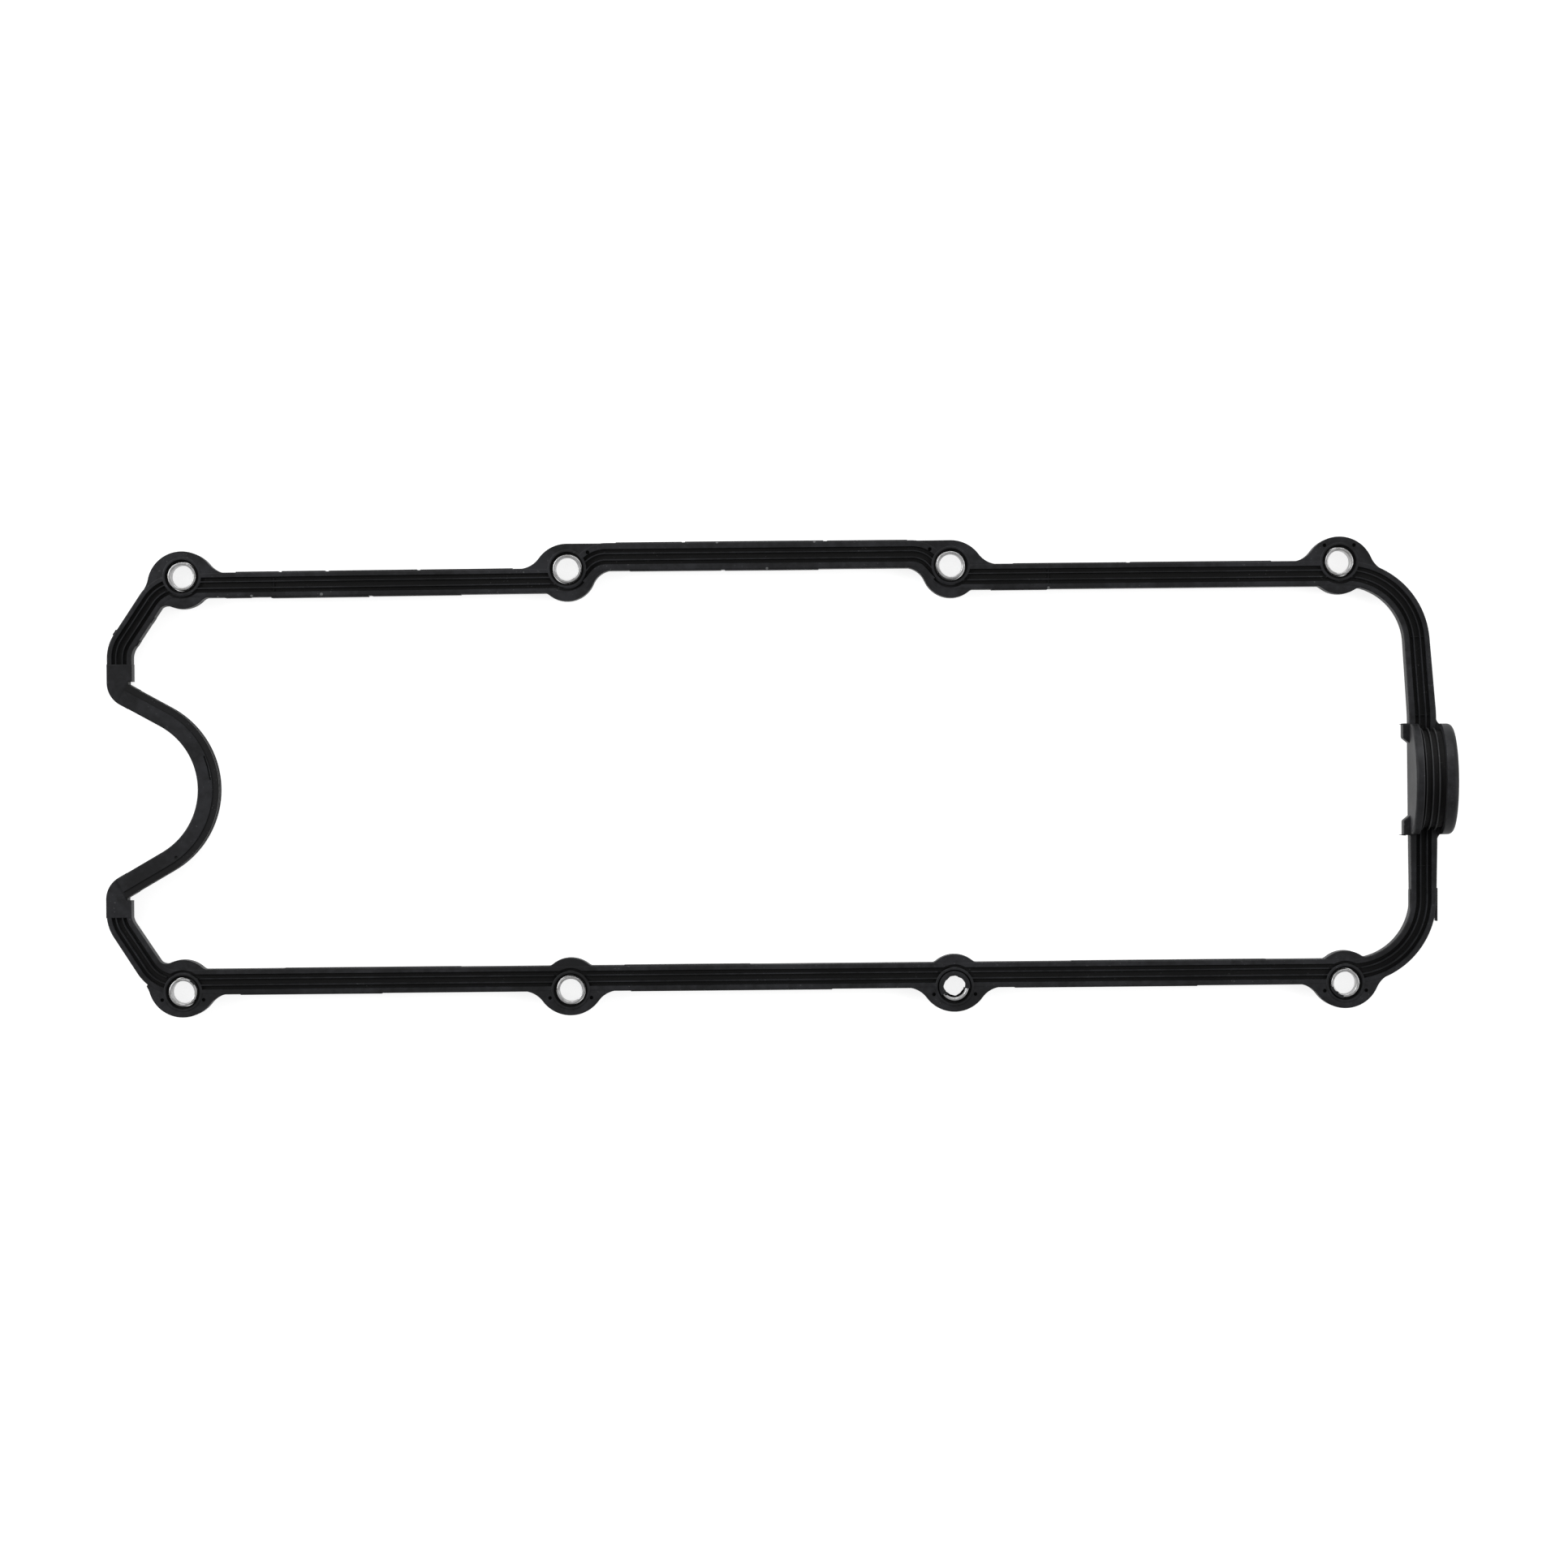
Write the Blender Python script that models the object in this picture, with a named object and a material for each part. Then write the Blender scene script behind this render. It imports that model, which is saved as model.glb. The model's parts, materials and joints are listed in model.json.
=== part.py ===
# Valve cover gasket for a four-cylinder engine, lying with its cylinder-head side up.
# One moulded rubber body (sealing strip, eight bolt bosses, arch, half-moon plug)
# and eight metal compression sleeves that sit in the bosses.
# Units are metres, +X runs along the engine towards the half-moon plug, +Z is up.

import math

import bmesh
import bpy
from mathutils import Vector

MM = 0.001

# Strip section: lands at both edges, three grooves and two thin sealing crests between
STRIP_HEIGHT = 6.8 * MM
EDGE_CHAMFER = 0.45 * MM
GROOVED_WIDTH = 4.9 * MM
GROOVE_DEPTH = 1.0 * MM
GROOVE_WALL = 0.2 * MM
CREST_PITCH = 2.06 * MM
CREST_TOP = 0.3 * MM
CREST_FOOT = 0.65 * MM

# Cover side of the same strip: one broad bead between two shallow grooves
COVER_GROOVED_WIDTH = 4.4 * MM
COVER_GROOVE_DEPTH = 0.6 * MM
COVER_BEAD_WIDTH = 1.0 * MM

# Strip widths along the route
LEFT_RUN_WIDTH = 7.9 * MM
JOGGED_RUN_WIDTH = 8.8 * MM
RIGHT_RUN_WIDTH = 8.1 * MM
END_RUN_WIDTH = 8.6 * MM
BOTTOM_RUN_WIDTH = 8.1 * MM
LEG_WIDTH = 7.9 * MM

# Bolt pattern, columns counted from the arch end
BOLT_PITCH_LEFT = 122.8 * MM
BOLT_PITCH_MIDDLE = 122.0 * MM
BOLT_PITCH_RIGHT = 123.8 * MM
ROW_SPACING = 133.9 * MM
TOP_LEFT_INSET = 1.3 * MM
BOTTOM_LEFT_INSET = 0.45 * MM
LEFT_SKEW = 0.4 * MM
RIGHT_SKEW = 0.35 * MM

# Route of the strip past the bolts
RUN_INSET = 3.7 * MM
TOP_LEFT_DROP = 0.5 * MM
JOG_OUTSET = 3.7 * MM
JOG_START = 2.2 * MM
JOG_LENGTH = 6.4 * MM
JOG_RADIUS = 8.2 * MM
JOG_FILLET = 7.0 * MM
END_RUN_OFFSET = 25.7 * MM
END_LEAN_TOP = 3.0 * MM
END_LEAN_BOTTOM = 0.4 * MM
END_BOW_RADIUS = 40.0 * MM
END_FLARE = 3.0 * MM
CORNER_RADIUS_TOP = 22.8 * MM
CORNER_RADIUS_BOTTOM = 23.0 * MM
LEG_OFFSET = 20.1 * MM
TOP_KNEE_Y = 42.8 * MM
BOTTOM_KNEE_Y = 44.3 * MM
LEG_KNEE_RADIUS = 10.0 * MM
TOP_SHOULDER = 6.8 * MM
BOTTOM_SHOULDER = 7.7 * MM
LEG_SHOULDER_RADIUS = 11.0 * MM

# Bolt bosses and the beads round the sleeves
BOSS_OUTER_RADIUS = 11.0 * MM
BOSS_OUTER_OFFSET = 3.0 * MM
BOSS_INNER_RADIUS = 9.1 * MM
BOSS_INNER_OFFSET = 1.2 * MM
BOSS_DROP = 0.07 * MM
OUTER_FILLET = 8.0 * MM
INNER_FILLET = 3.0 * MM
SEAM_TUCK = 0.15 * MM
BEAD_RADIUS = 6.2 * MM
BEAD_RISE = 0.12 * MM
RELIEF_RADIUS = 5.4 * MM
RELIEF_DEPTH = 1.1 * MM
BYPASS_GAP = 0.12 * MM
BYPASS_WIDTH = 0.75 * MM
BYPASS_DEPTH = 0.75 * MM
BYPASS_HALF_ANGLE = math.radians(52)
PIN_MARK_RADIUS = 0.6 * MM
PIN_MARK_DEPTH = 0.9 * MM
PIN_MARK_RING = 7.0 * MM
PIN_MARK_WEB_RING = 8.4 * MM
PIN_MARK_ANGLE_TOP = math.radians(38)
PIN_MARK_ANGLE_WEB = math.radians(48)
PIN_MARK_ANGLE_BOTTOM = math.radians(20)

# Compression sleeves
SLEEVE_BORE = 7.2 * MM
SLEEVE_DIAMETER = 9.0 * MM
SLEEVE_HEIGHT = 6.2 * MM
SLEEVE_CHAMFER = 0.25 * MM
SLEEVE_CLEARANCE = 0.2 * MM

# Camshaft end: axis shared by the arch feet and the half-moon plug
CAM_AXIS_Y = -2.4 * MM

# Arch, the same strip turned on its side and lying folded inwards
RIB_END = 40.3 * MM
FOOT_END = 34.8 * MM
FOOT_WIDTH = 8.1 * MM
FOOT_RISE = 0.05 * MM
FOOT_MARGIN = 0.12 * MM
FOOT_OVERLAP = 1.0 * MM
FOOT_CORNER_RADIUS = 8.0 * MM
ARCH_BEND = 31.5 * MM
ARCH_LEAN = 0.9 * MM
ARCH_FLANKS_MEET = 55.8 * MM
ARCH_RADIUS = 26.4 * MM
ARCH_WIDTH = 7.8 * MM
ARCH_ROOT = 1.2 * MM
FOOT_REACH = 5.0 * MM
FOOT_NOTCH = 1.2 * MM

# Half-moon plug
PLUG_RADIUS = 17.6 * MM
PLUG_CREST_RADIUS = 16.3 * MM
PLUG_GROOVE_RADIUS = 15.4 * MM
PLUG_THICKNESS = 13.5 * MM
PLUG_INNER_FLANGE = 2.6 * MM
PLUG_OUTER_FLANGE = 3.8 * MM
PLUG_CRESTS = 3
PLUG_CREST_TOP = 0.38 * MM
PLUG_CREST_FOOT = 0.75 * MM
PLUG_LIFT = 0.06 * MM
PLUG_INNER_STEP = 0.12 * MM
PLUG_EDGE_ROUND = 1.7 * MM
PLUG_FOOT = 1.2 * MM
EAR_REACH = 2.2 * MM
EAR_LENGTH = 5.5 * MM
EAR_ROUND = 1.2 * MM
EAR_RISE = 0.6 * MM
EAR_ROOT = 1.6 * MM
EAR_OVERHANG = 0.15 * MM

# How finely round shapes are divided
ARC_STEP = math.radians(13)
HOLE_SIDES = 20
SLEEVE_SIDES = 24
PLUG_SIDES = 20
PIN_MARK_SIDES = 6

# How far cutters run past the faces that they cut, and what is joined on stops short of the rest plane
OVERCUT = 1.5 * MM
REST_GAP = 0.03 * MM

# Places worked out from the sizes above, with X counted from the first bolt column
BOLT_COLUMNS = (
    0.0,
    BOLT_PITCH_LEFT,
    BOLT_PITCH_LEFT + BOLT_PITCH_MIDDLE,
    BOLT_PITCH_LEFT + BOLT_PITCH_MIDDLE + BOLT_PITCH_RIGHT,
)
ROW_Y = ROW_SPACING / 2
RUN_Y = ROW_Y - RUN_INSET
JOG_Y = ROW_Y + JOG_OUTSET
COLUMN_SKEWS = (LEFT_SKEW, 0.0, 0.0, -RIGHT_SKEW)
END_X = BOLT_COLUMNS[3] + END_RUN_OFFSET
TOP_LEG_X = LEFT_SKEW - LEG_OFFSET
BOTTOM_LEG_X = -LEFT_SKEW - LEG_OFFSET
TOP_RUN_WIDTHS = (LEFT_RUN_WIDTH, LEFT_RUN_WIDTH, RIGHT_RUN_WIDTH, RIGHT_RUN_WIDTH)
LEFT_EDGE = BOTTOM_LEG_X - FOOT_WIDTH / 2
RIGHT_EDGE = END_X - END_RUN_WIDTH / 2 - PLUG_INNER_STEP + PLUG_THICKNESS
BACK_EDGE = JOG_Y + JOGGED_RUN_WIDTH / 2
FRONT_EDGE = -ROW_Y + BOSS_OUTER_OFFSET - BOSS_OUTER_RADIUS

# Mould pin marks as (column, row side, left or right, distance, angle from the row)
PIN_MARKS = [
    (1, 1, 1, PIN_MARK_WEB_RING, PIN_MARK_ANGLE_WEB),
    (2, 1, -1, PIN_MARK_WEB_RING, PIN_MARK_ANGLE_WEB),
    (3, 1, -1, PIN_MARK_RING, PIN_MARK_ANGLE_TOP),
    (3, 1, 1, PIN_MARK_RING, PIN_MARK_ANGLE_TOP),
] + [
    (column, -1, along, PIN_MARK_RING, PIN_MARK_ANGLE_BOTTOM)
    for column in range(len(BOLT_COLUMNS)) for along in (-1, 1)
]


def clear_scene():
    for item in list(bpy.data.objects):
        bpy.data.objects.remove(item, do_unlink=True)


def material(name, colour, roughness, metallic):
    skin = bpy.data.materials.new(name)
    skin.use_nodes = True
    shader = skin.node_tree.nodes["Principled BSDF"]
    shader.inputs["Base Color"].default_value = (*colour, 1.0)
    shader.inputs["Roughness"].default_value = roughness
    shader.inputs["Metallic"].default_value = metallic
    skin.diffuse_color = (*colour, 1.0)
    return skin


def finish_object(name, shape):
    bmesh.ops.recalc_face_normals(shape, faces=shape.faces)
    mesh = bpy.data.meshes.new(name)
    shape.to_mesh(mesh)
    shape.free()
    item = bpy.data.objects.new(name, mesh)
    bpy.context.scene.collection.objects.link(item)
    return item


def loft(name, loops):
    """Closed solid through loops with equal point counts, flat at both ends."""
    shape = bmesh.new()
    rings = [[shape.verts.new(point) for point in loop] for loop in loops]
    for first, second in zip(rings, rings[1:]):
        for index in range(len(first)):
            after = (index + 1) % len(first)
            shape.faces.new((first[index], first[after], second[after], second[index]))
    shape.faces.new(reversed(rings[0]))
    shape.faces.new(rings[-1])
    return finish_object(name, shape)


def prism(name, outline, low, high):
    """Upright solid with a plan outline between two heights."""
    return loft(name, [[(point.x, point.y, z) for point in outline] for z in (low, high)])


def turned(name, profile, sides):
    """Ring turned about Z from a closed profile of radius and height pairs."""
    shape = bmesh.new()
    rings = []
    for index in range(sides):
        angle = math.tau * index / sides
        ring = [shape.verts.new((r * math.cos(angle), r * math.sin(angle), z)) for r, z in profile]
        rings.append(ring)
    for first, second in zip(rings, rings[1:] + rings[:1]):
        for index in range(len(profile)):
            after = (index + 1) % len(profile)
            shape.faces.new((first[index], second[index], second[after], first[after]))
    return finish_object(name, shape)


def arc(centre, radius, start, end):
    """Plan points along an arc, both ends included, with steps no wider than ARC_STEP."""
    steps = max(1, math.ceil(abs(end - start) / ARC_STEP - 1e-9))
    angles = [start + (end - start) * index / steps for index in range(steps + 1)]
    return [centre + radius * Vector((math.cos(angle), math.sin(angle))) for angle in angles]


def left_of(direction):
    return Vector((-direction.y, direction.x))


def bend_at(before, here, after, radius):
    """Centre, first angle and turn of the arc that rounds the corner at here."""
    arriving = (here - before).normalized()
    turn = -arriving.angle_signed((after - here).normalized())
    tangent = here - arriving * radius * math.tan(abs(turn) / 2)
    centre = tangent + left_of(arriving) * math.copysign(radius, turn)
    spoke = tangent - centre
    return centre, math.atan2(spoke.y, spoke.x), turn


def rounded_route(corners):
    """Stations along a route of (x, y, radius, width) corners: place, left normal, width."""
    places = [Vector(corner[:2]) for corner in corners]
    stations = [(places[0], left_of((places[1] - places[0]).normalized()), corners[0][3])]
    for index in range(1, len(corners) - 1):
        before, here, after = places[index - 1:index + 2]
        radius, width = corners[index][2:]
        if radius == 0:
            stations.append((here, left_of((here - before).normalized()), width))
            continue
        centre, start, turn = bend_at(before, here, after, radius)
        for point in arc(centre, radius, start, start + turn):
            stations.append((point, (centre - point) / math.copysign(radius, turn), width))
    stations.append((places[-1], left_of((places[-1] - places[-2]).normalized()), corners[-1][3]))
    return stations


def rounded_outline(corners):
    """Plan outline through (point, radius) corners, each rounded by its radius."""
    outline = []
    for index, (here, radius) in enumerate(corners):
        before = corners[index - 1][0]
        after = corners[(index + 1) % len(corners)][0]
        if radius == 0:
            outline.append(here)
            continue
        centre, start, turn = bend_at(before, here, after, radius)
        outline += arc(centre, radius, start, start + turn)
    return outline


def head_grooves():
    """The three grooves of the head side as (left foot, left wall, right foot, right wall)."""
    crest_wall = (CREST_FOOT - CREST_TOP) / 2
    crest_near = (CREST_PITCH - CREST_FOOT) / 2
    crest_far = (CREST_PITCH + CREST_FOOT) / 2
    land_foot = GROOVED_WIDTH / 2 - GROOVE_WALL
    return [
        (-land_foot, GROOVE_WALL, -crest_far, crest_wall),
        (-crest_near, crest_wall, crest_near, crest_wall),
        (crest_far, crest_wall, land_foot, GROOVE_WALL),
    ]


def cover_grooves():
    """The two shallow grooves of the cover side, one at each side of the broad bead."""
    near = COVER_BEAD_WIDTH / 2 + GROOVE_WALL
    far = COVER_GROOVED_WIDTH / 2 - GROOVE_WALL
    return [(-far, GROOVE_WALL, -near, GROOVE_WALL), (near, GROOVE_WALL, far, GROOVE_WALL)]


def grooved_section(width):
    """Whole section of the strip as (across, height) pairs, for a strip with no bosses."""
    edge = width / 2
    section = [(-edge, EDGE_CHAMFER), (-edge, STRIP_HEIGHT - EDGE_CHAMFER)]
    section.append((-edge + EDGE_CHAMFER, STRIP_HEIGHT))
    for left, left_wall, right, right_wall in head_grooves():
        floor = STRIP_HEIGHT - GROOVE_DEPTH
        section += [(left - left_wall, STRIP_HEIGHT), (left, floor)]
        section += [(right, floor), (right + right_wall, STRIP_HEIGHT)]
    section += [(edge - EDGE_CHAMFER, STRIP_HEIGHT), (edge, STRIP_HEIGHT - EDGE_CHAMFER)]
    section += [(edge, EDGE_CHAMFER), (edge - EDGE_CHAMFER, 0.0)]
    for left, left_wall, right, right_wall in reversed(cover_grooves()):
        section += [(right + right_wall, 0.0), (right, COVER_GROOVE_DEPTH)]
        section += [(left, COVER_GROOVE_DEPTH), (left - left_wall, 0.0)]
    section.append((-edge + EDGE_CHAMFER, 0.0))
    return section


def make_arch(name):
    """The arch, swept with its head side facing inwards and its edges up and down."""
    loops = []
    for place, normal, width in arch_route():
        spots = [(place + normal * (STRIP_HEIGHT / 2 - height), across + width / 2)
                 for across, height in grooved_section(width)]
        loops.append([(spot.x, spot.y, height) for spot, height in spots])
    return loft(name, loops)


def band(name, stations, levels):
    """Upright band along a route, each level giving its left and right reach and height."""
    loops = []
    for reach_left, reach_right, height in levels:
        left = [place + normal * reach_left(width) for place, normal, width in stations]
        right = [place + normal * reach_right(width) for place, normal, width in stations]
        loops.append([(point.x, point.y, height) for point in left + right[::-1]])
    return loft(name, loops)


def make_blank_strip(name, stations):
    """The strip before its grooves are cut, with broken edges at both faces."""
    levels = [(EDGE_CHAMFER, 0.0), (0.0, EDGE_CHAMFER)]
    levels += [(0.0, STRIP_HEIGHT - EDGE_CHAMFER), (EDGE_CHAMFER, STRIP_HEIGHT)]

    def reach(side, inset):
        return lambda width: side * (width / 2 - inset)

    return band(name, stations, [(reach(1, inset), reach(-1, inset), z) for inset, z in levels])


def make_groove(name, stations, groove, mouth, depth):
    """Cutter for one groove, run past its mouth at the slope of its walls."""
    left, left_wall, right, right_wall = groove
    stretch = 1 + OVERCUT / abs(depth)
    floor = mouth - depth
    beyond = mouth + math.copysign(OVERCUT, depth)

    def reach(value):
        return lambda width: value

    return band(name, stations, [
        (reach(right), reach(left), floor),
        (reach(right + right_wall * stretch), reach(left - left_wall * stretch), beyond),
    ])


def strip_route():
    """Stations of the strip from one arch foot round the cover to the other."""
    jog_in, jog_out = BOLT_COLUMNS[1], BOLT_COLUMNS[2]
    bend = JOG_START + JOG_LENGTH
    wide_end = PLUG_RADIUS + END_FLARE
    return rounded_route([
        (TOP_LEG_X, CAM_AXIS_Y + FOOT_END + FOOT_OVERLAP, 0, LEG_WIDTH),
        (TOP_LEG_X, TOP_KNEE_Y, LEG_KNEE_RADIUS, LEG_WIDTH),
        (LEFT_SKEW - TOP_SHOULDER, RUN_Y - TOP_LEFT_DROP, LEG_SHOULDER_RADIUS, LEFT_RUN_WIDTH),
        (jog_in + JOG_START, RUN_Y, JOG_RADIUS, LEFT_RUN_WIDTH),
        (jog_in + bend, JOG_Y, JOG_RADIUS, JOGGED_RUN_WIDTH),
        (jog_out - bend, JOG_Y, JOG_RADIUS, JOGGED_RUN_WIDTH),
        (jog_out - JOG_START, RUN_Y, JOG_RADIUS, RIGHT_RUN_WIDTH),
        (END_X - END_LEAN_TOP, RUN_Y, CORNER_RADIUS_TOP, RIGHT_RUN_WIDTH),
        (END_X, CAM_AXIS_Y + wide_end, END_BOW_RADIUS, END_RUN_WIDTH),
        (END_X, CAM_AXIS_Y - wide_end, END_BOW_RADIUS, END_RUN_WIDTH),
        (END_X - END_LEAN_BOTTOM, -RUN_Y, CORNER_RADIUS_BOTTOM, BOTTOM_RUN_WIDTH),
        (-LEFT_SKEW - BOTTOM_SHOULDER, -RUN_Y, LEG_SHOULDER_RADIUS, BOTTOM_RUN_WIDTH),
        (BOTTOM_LEG_X, -BOTTOM_KNEE_Y, LEG_KNEE_RADIUS, LEG_WIDTH),
        (BOTTOM_LEG_X, CAM_AXIS_Y - FOOT_END - FOOT_OVERLAP, 0, LEG_WIDTH),
    ])


def arch_corners():
    """The arch centreline: bend at the upper foot, meeting point of the flanks, lower bend."""
    return (
        Vector((TOP_LEG_X, CAM_AXIS_Y + ARCH_BEND)),
        Vector((ARCH_FLANKS_MEET - LEG_OFFSET, CAM_AXIS_Y + ARCH_LEAN)),
        Vector((BOTTOM_LEG_X, CAM_AXIS_Y - ARCH_BEND)),
    )


def arch_route():
    """Stations of the arch, starting and ending a root length from the foot bends."""
    upper, peak, lower = arch_corners()
    start = upper + (peak - upper).normalized() * ARCH_ROOT
    end = lower + (peak - lower).normalized() * ARCH_ROOT
    return rounded_route([
        (start.x, start.y, 0, ARCH_WIDTH),
        (peak.x, peak.y, ARCH_RADIUS, ARCH_WIDTH),
        (end.x, end.y, 0, ARCH_WIDTH),
    ])


def at_x(point, direction, x):
    """Where the line through point reaches x."""
    return Vector((x, point.y + direction.y * (x - point.x) / direction.x))


def make_foot(name, bend, peak, side):
    """Plain block where the strip turns on its side and runs into a flank of the arch."""
    flank = (peak - bend).normalized()
    away = left_of(flank) * side
    half = STRIP_HEIGHT / 2 + FOOT_MARGIN
    block_edge = FOOT_WIDTH / 2
    rib_y = CAM_AXIS_Y + side * RIB_END
    notch_y = CAM_AXIS_Y + side * FOOT_END
    outer_x, inner_x = bend.x - block_edge, bend.x + block_edge
    end = bend + flank * FOOT_REACH
    outline = rounded_outline([
        (Vector((outer_x, rib_y)), 0),
        (at_x(bend - away * half, flank, outer_x), FOOT_CORNER_RADIUS),
        (end - away * half, 0),
        (end + away * half, 0),
        (at_x(bend + away * half, flank, inner_x - FOOT_NOTCH), 0),
        (Vector((inner_x - FOOT_NOTCH, notch_y)), 0),
        (Vector((inner_x, notch_y)), 0),
        (Vector((inner_x, rib_y)), 0),
    ])
    return prism(name, outline, REST_GAP, STRIP_HEIGHT + FOOT_RISE)


def short_arc(middle, radius, first, last):
    """Arc about middle the short way from one spoke direction to another."""
    start = math.atan2(first.y, first.x)
    turn = (math.atan2(last.y, last.x) - start + math.pi) % math.tau - math.pi
    return arc(middle, radius, start, start + turn)


def line_fillet(boss, edge, along, away, fillet):
    """Concave fillet from a straight strip edge to the round of a boss, given as (centre, radius)."""
    centre, radius = boss
    depth = (centre - edge).dot(away)
    reach = math.sqrt((radius + fillet) ** 2 - (fillet - depth) ** 2)
    middle = centre - away * depth + along * reach + away * fillet
    return short_arc(middle, fillet, -away, centre - middle)


def round_fillet(boss, corner, radius, fillet, side):
    """Concave fillet from the edge of a corner bend, side +1 outside and -1 inside it."""
    centre = boss[0]
    gap = corner - centre
    near = boss[1] + fillet
    far = radius + side * fillet
    along = (near ** 2 - far ** 2 + gap.length_squared) / (2 * gap.length)
    unit = gap.normalized()
    middle = centre + unit * along + left_of(unit) * math.sqrt(near ** 2 - along ** 2)
    return short_arc(middle, fillet, (corner - middle) * side, centre - middle)


def straight_fillets(outer, inner, run, along, width):
    """Outer and inner fillets where a straight run through a point leaves the boss."""
    away = left_of(along) * math.copysign(1, along.x)
    edge = away * (width / 2 - SEAM_TUCK)
    return (
        line_fillet(outer, run + edge, along, away, OUTER_FILLET),
        line_fillet(inner, run - edge, along, -away, INNER_FILLET),
    )


def corner_fillets(outer, inner, width, side):
    """Outer and inner fillets where the strip bends round an end corner beside the boss."""
    radius = CORNER_RADIUS_TOP if side > 0 else CORNER_RADIUS_BOTTOM
    lean = END_LEAN_TOP if side > 0 else END_LEAN_BOTTOM
    end = END_X - BOLT_COLUMNS[3] + side * RIGHT_SKEW
    here = Vector((end - lean, -RUN_INSET))
    after = Vector((end, side * CAM_AXIS_Y + PLUG_RADIUS + END_FLARE - ROW_Y))
    corner = bend_at(Vector((0.0, -RUN_INSET)), here, after, radius)[0]
    edge = width / 2 - SEAM_TUCK
    return (
        round_fillet(outer, corner, radius + edge, OUTER_FILLET, 1),
        round_fillet(inner, corner, radius - edge, INNER_FILLET, -1),
    )


def jog_web(outer, inner, along):
    """Flat web from the top of the boss to the jogged run, and the fillet below it."""
    edge = JOGGED_RUN_WIDTH / 2 - SEAM_TUCK
    lower = Vector((0, JOG_OUTSET - edge))
    fillet = line_fillet(inner, lower, Vector((along, 0)), Vector((0, -1)), JOG_FILLET)
    crown = outer[0] + Vector((0, outer[1]))
    return [Vector((fillet[0].x, JOG_OUTSET + edge)), crown], fillet


def bolt_inset(column, side):
    if column > 0:
        return 0.0
    return TOP_LEFT_INSET if side > 0 else BOTTOM_LEFT_INSET


def boss_sides(column, side, outer, inner):
    """Fillet pairs (outer, inner) to the left and right of a boss."""
    drop = TOP_LEFT_DROP if column == 0 and side > 0 else 0.0
    run = Vector((0, -RUN_INSET - drop))
    left, right = Vector((-1, 0)), Vector((1, 0))
    width = TOP_RUN_WIDTHS[column] if side > 0 else BOTTOM_RUN_WIDTH
    before = straight_fillets(outer, inner, run, left, width)
    after = straight_fillets(outer, inner, run, right, width)
    if column == 0:
        shoulder = Vector((-TOP_SHOULDER if side > 0 else -BOTTOM_SHOULDER, run.y))
        knee = Vector((-LEG_OFFSET, (TOP_KNEE_Y if side > 0 else BOTTOM_KNEE_Y) - ROW_Y))
        before = straight_fillets(outer, inner, shoulder, (knee - shoulder).normalized(), width)
    if column == 3:
        after = corner_fillets(outer, inner, width, side)
    if side > 0 and column == 1:
        after = jog_web(outer, inner, 1)
    if side > 0 and column == 2:
        before = jog_web(outer, inner, -1)
    return before, after


def boss_outline(column, side):
    """Plan outline of a boss with its fillets, counted outwards from the bolt row."""
    inset = bolt_inset(column, side)
    outer = (Vector((0, -inset - BOSS_OUTER_OFFSET)), BOSS_OUTER_RADIUS)
    inner = (Vector((0, -inset - BOSS_INNER_OFFSET)), BOSS_INNER_RADIUS)
    (left_outer, left_inner), (right_outer, right_inner) = boss_sides(column, side, outer, inner)

    def between(boss, first, last):
        centre, radius = boss
        start = math.atan2(first.y - centre.y, first.x - centre.x)
        end = math.atan2(last.y - centre.y, last.x - centre.x)
        return arc(centre, radius, start, start + (end - start) % math.tau)[1:-1]

    outline = right_outer + between(outer, right_outer[-1], left_outer[-1]) + left_outer[::-1]
    outline += left_inner + between(inner, left_inner[-1], right_inner[-1]) + right_inner[::-1]
    column_x = BOLT_COLUMNS[column] + side * COLUMN_SKEWS[column]
    return [Vector((column_x + point.x, side * (ROW_Y + point.y))) for point in outline]


def bolt_centre(column, side):
    column_x = BOLT_COLUMNS[column] + side * COLUMN_SKEWS[column]
    return Vector((column_x, side * (ROW_Y - bolt_inset(column, side))))


def round_cutter(name, centre, steps, sides):
    """Upright round solid through (radius, height) steps."""
    turns = [math.tau * index / sides for index in range(sides)]
    loops = []
    for radius, height in steps:
        loops.append([(centre.x + radius * math.cos(a), centre.y + radius * math.sin(a), height)
                      for a in turns])
    return loft(name, loops)


def make_bead(name, centre):
    steps = [(BEAD_RADIUS, REST_GAP), (BEAD_RADIUS, STRIP_HEIGHT + BEAD_RISE)]
    return round_cutter(name, centre, steps, HOLE_SIDES)


def make_sleeve_hole(name, centre):
    """Hole for a sleeve, with a relief groove round it at both faces."""
    hole = SLEEVE_DIAMETER / 2 + SLEEVE_CLEARANCE
    return round_cutter(name, centre, [
        (RELIEF_RADIUS, -OVERCUT),
        (RELIEF_RADIUS, RELIEF_DEPTH),
        (hole, RELIEF_DEPTH),
        (hole, STRIP_HEIGHT - RELIEF_DEPTH),
        (RELIEF_RADIUS, STRIP_HEIGHT - RELIEF_DEPTH),
        (RELIEF_RADIUS, STRIP_HEIGHT + OVERCUT),
    ], HOLE_SIDES)


def make_bypass(name, centre, side, low, high):
    """Groove that carries the inner groove of the strip round the bead of a bolt."""
    inner = BEAD_RADIUS + BYPASS_GAP
    middle = -side * math.pi / 2
    start, end = middle - BYPASS_HALF_ANGLE, middle + BYPASS_HALF_ANGLE
    outline = arc(centre, inner + BYPASS_WIDTH, start, end) + arc(centre, inner, end, start)
    return prism(name, outline, low, high)


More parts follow.
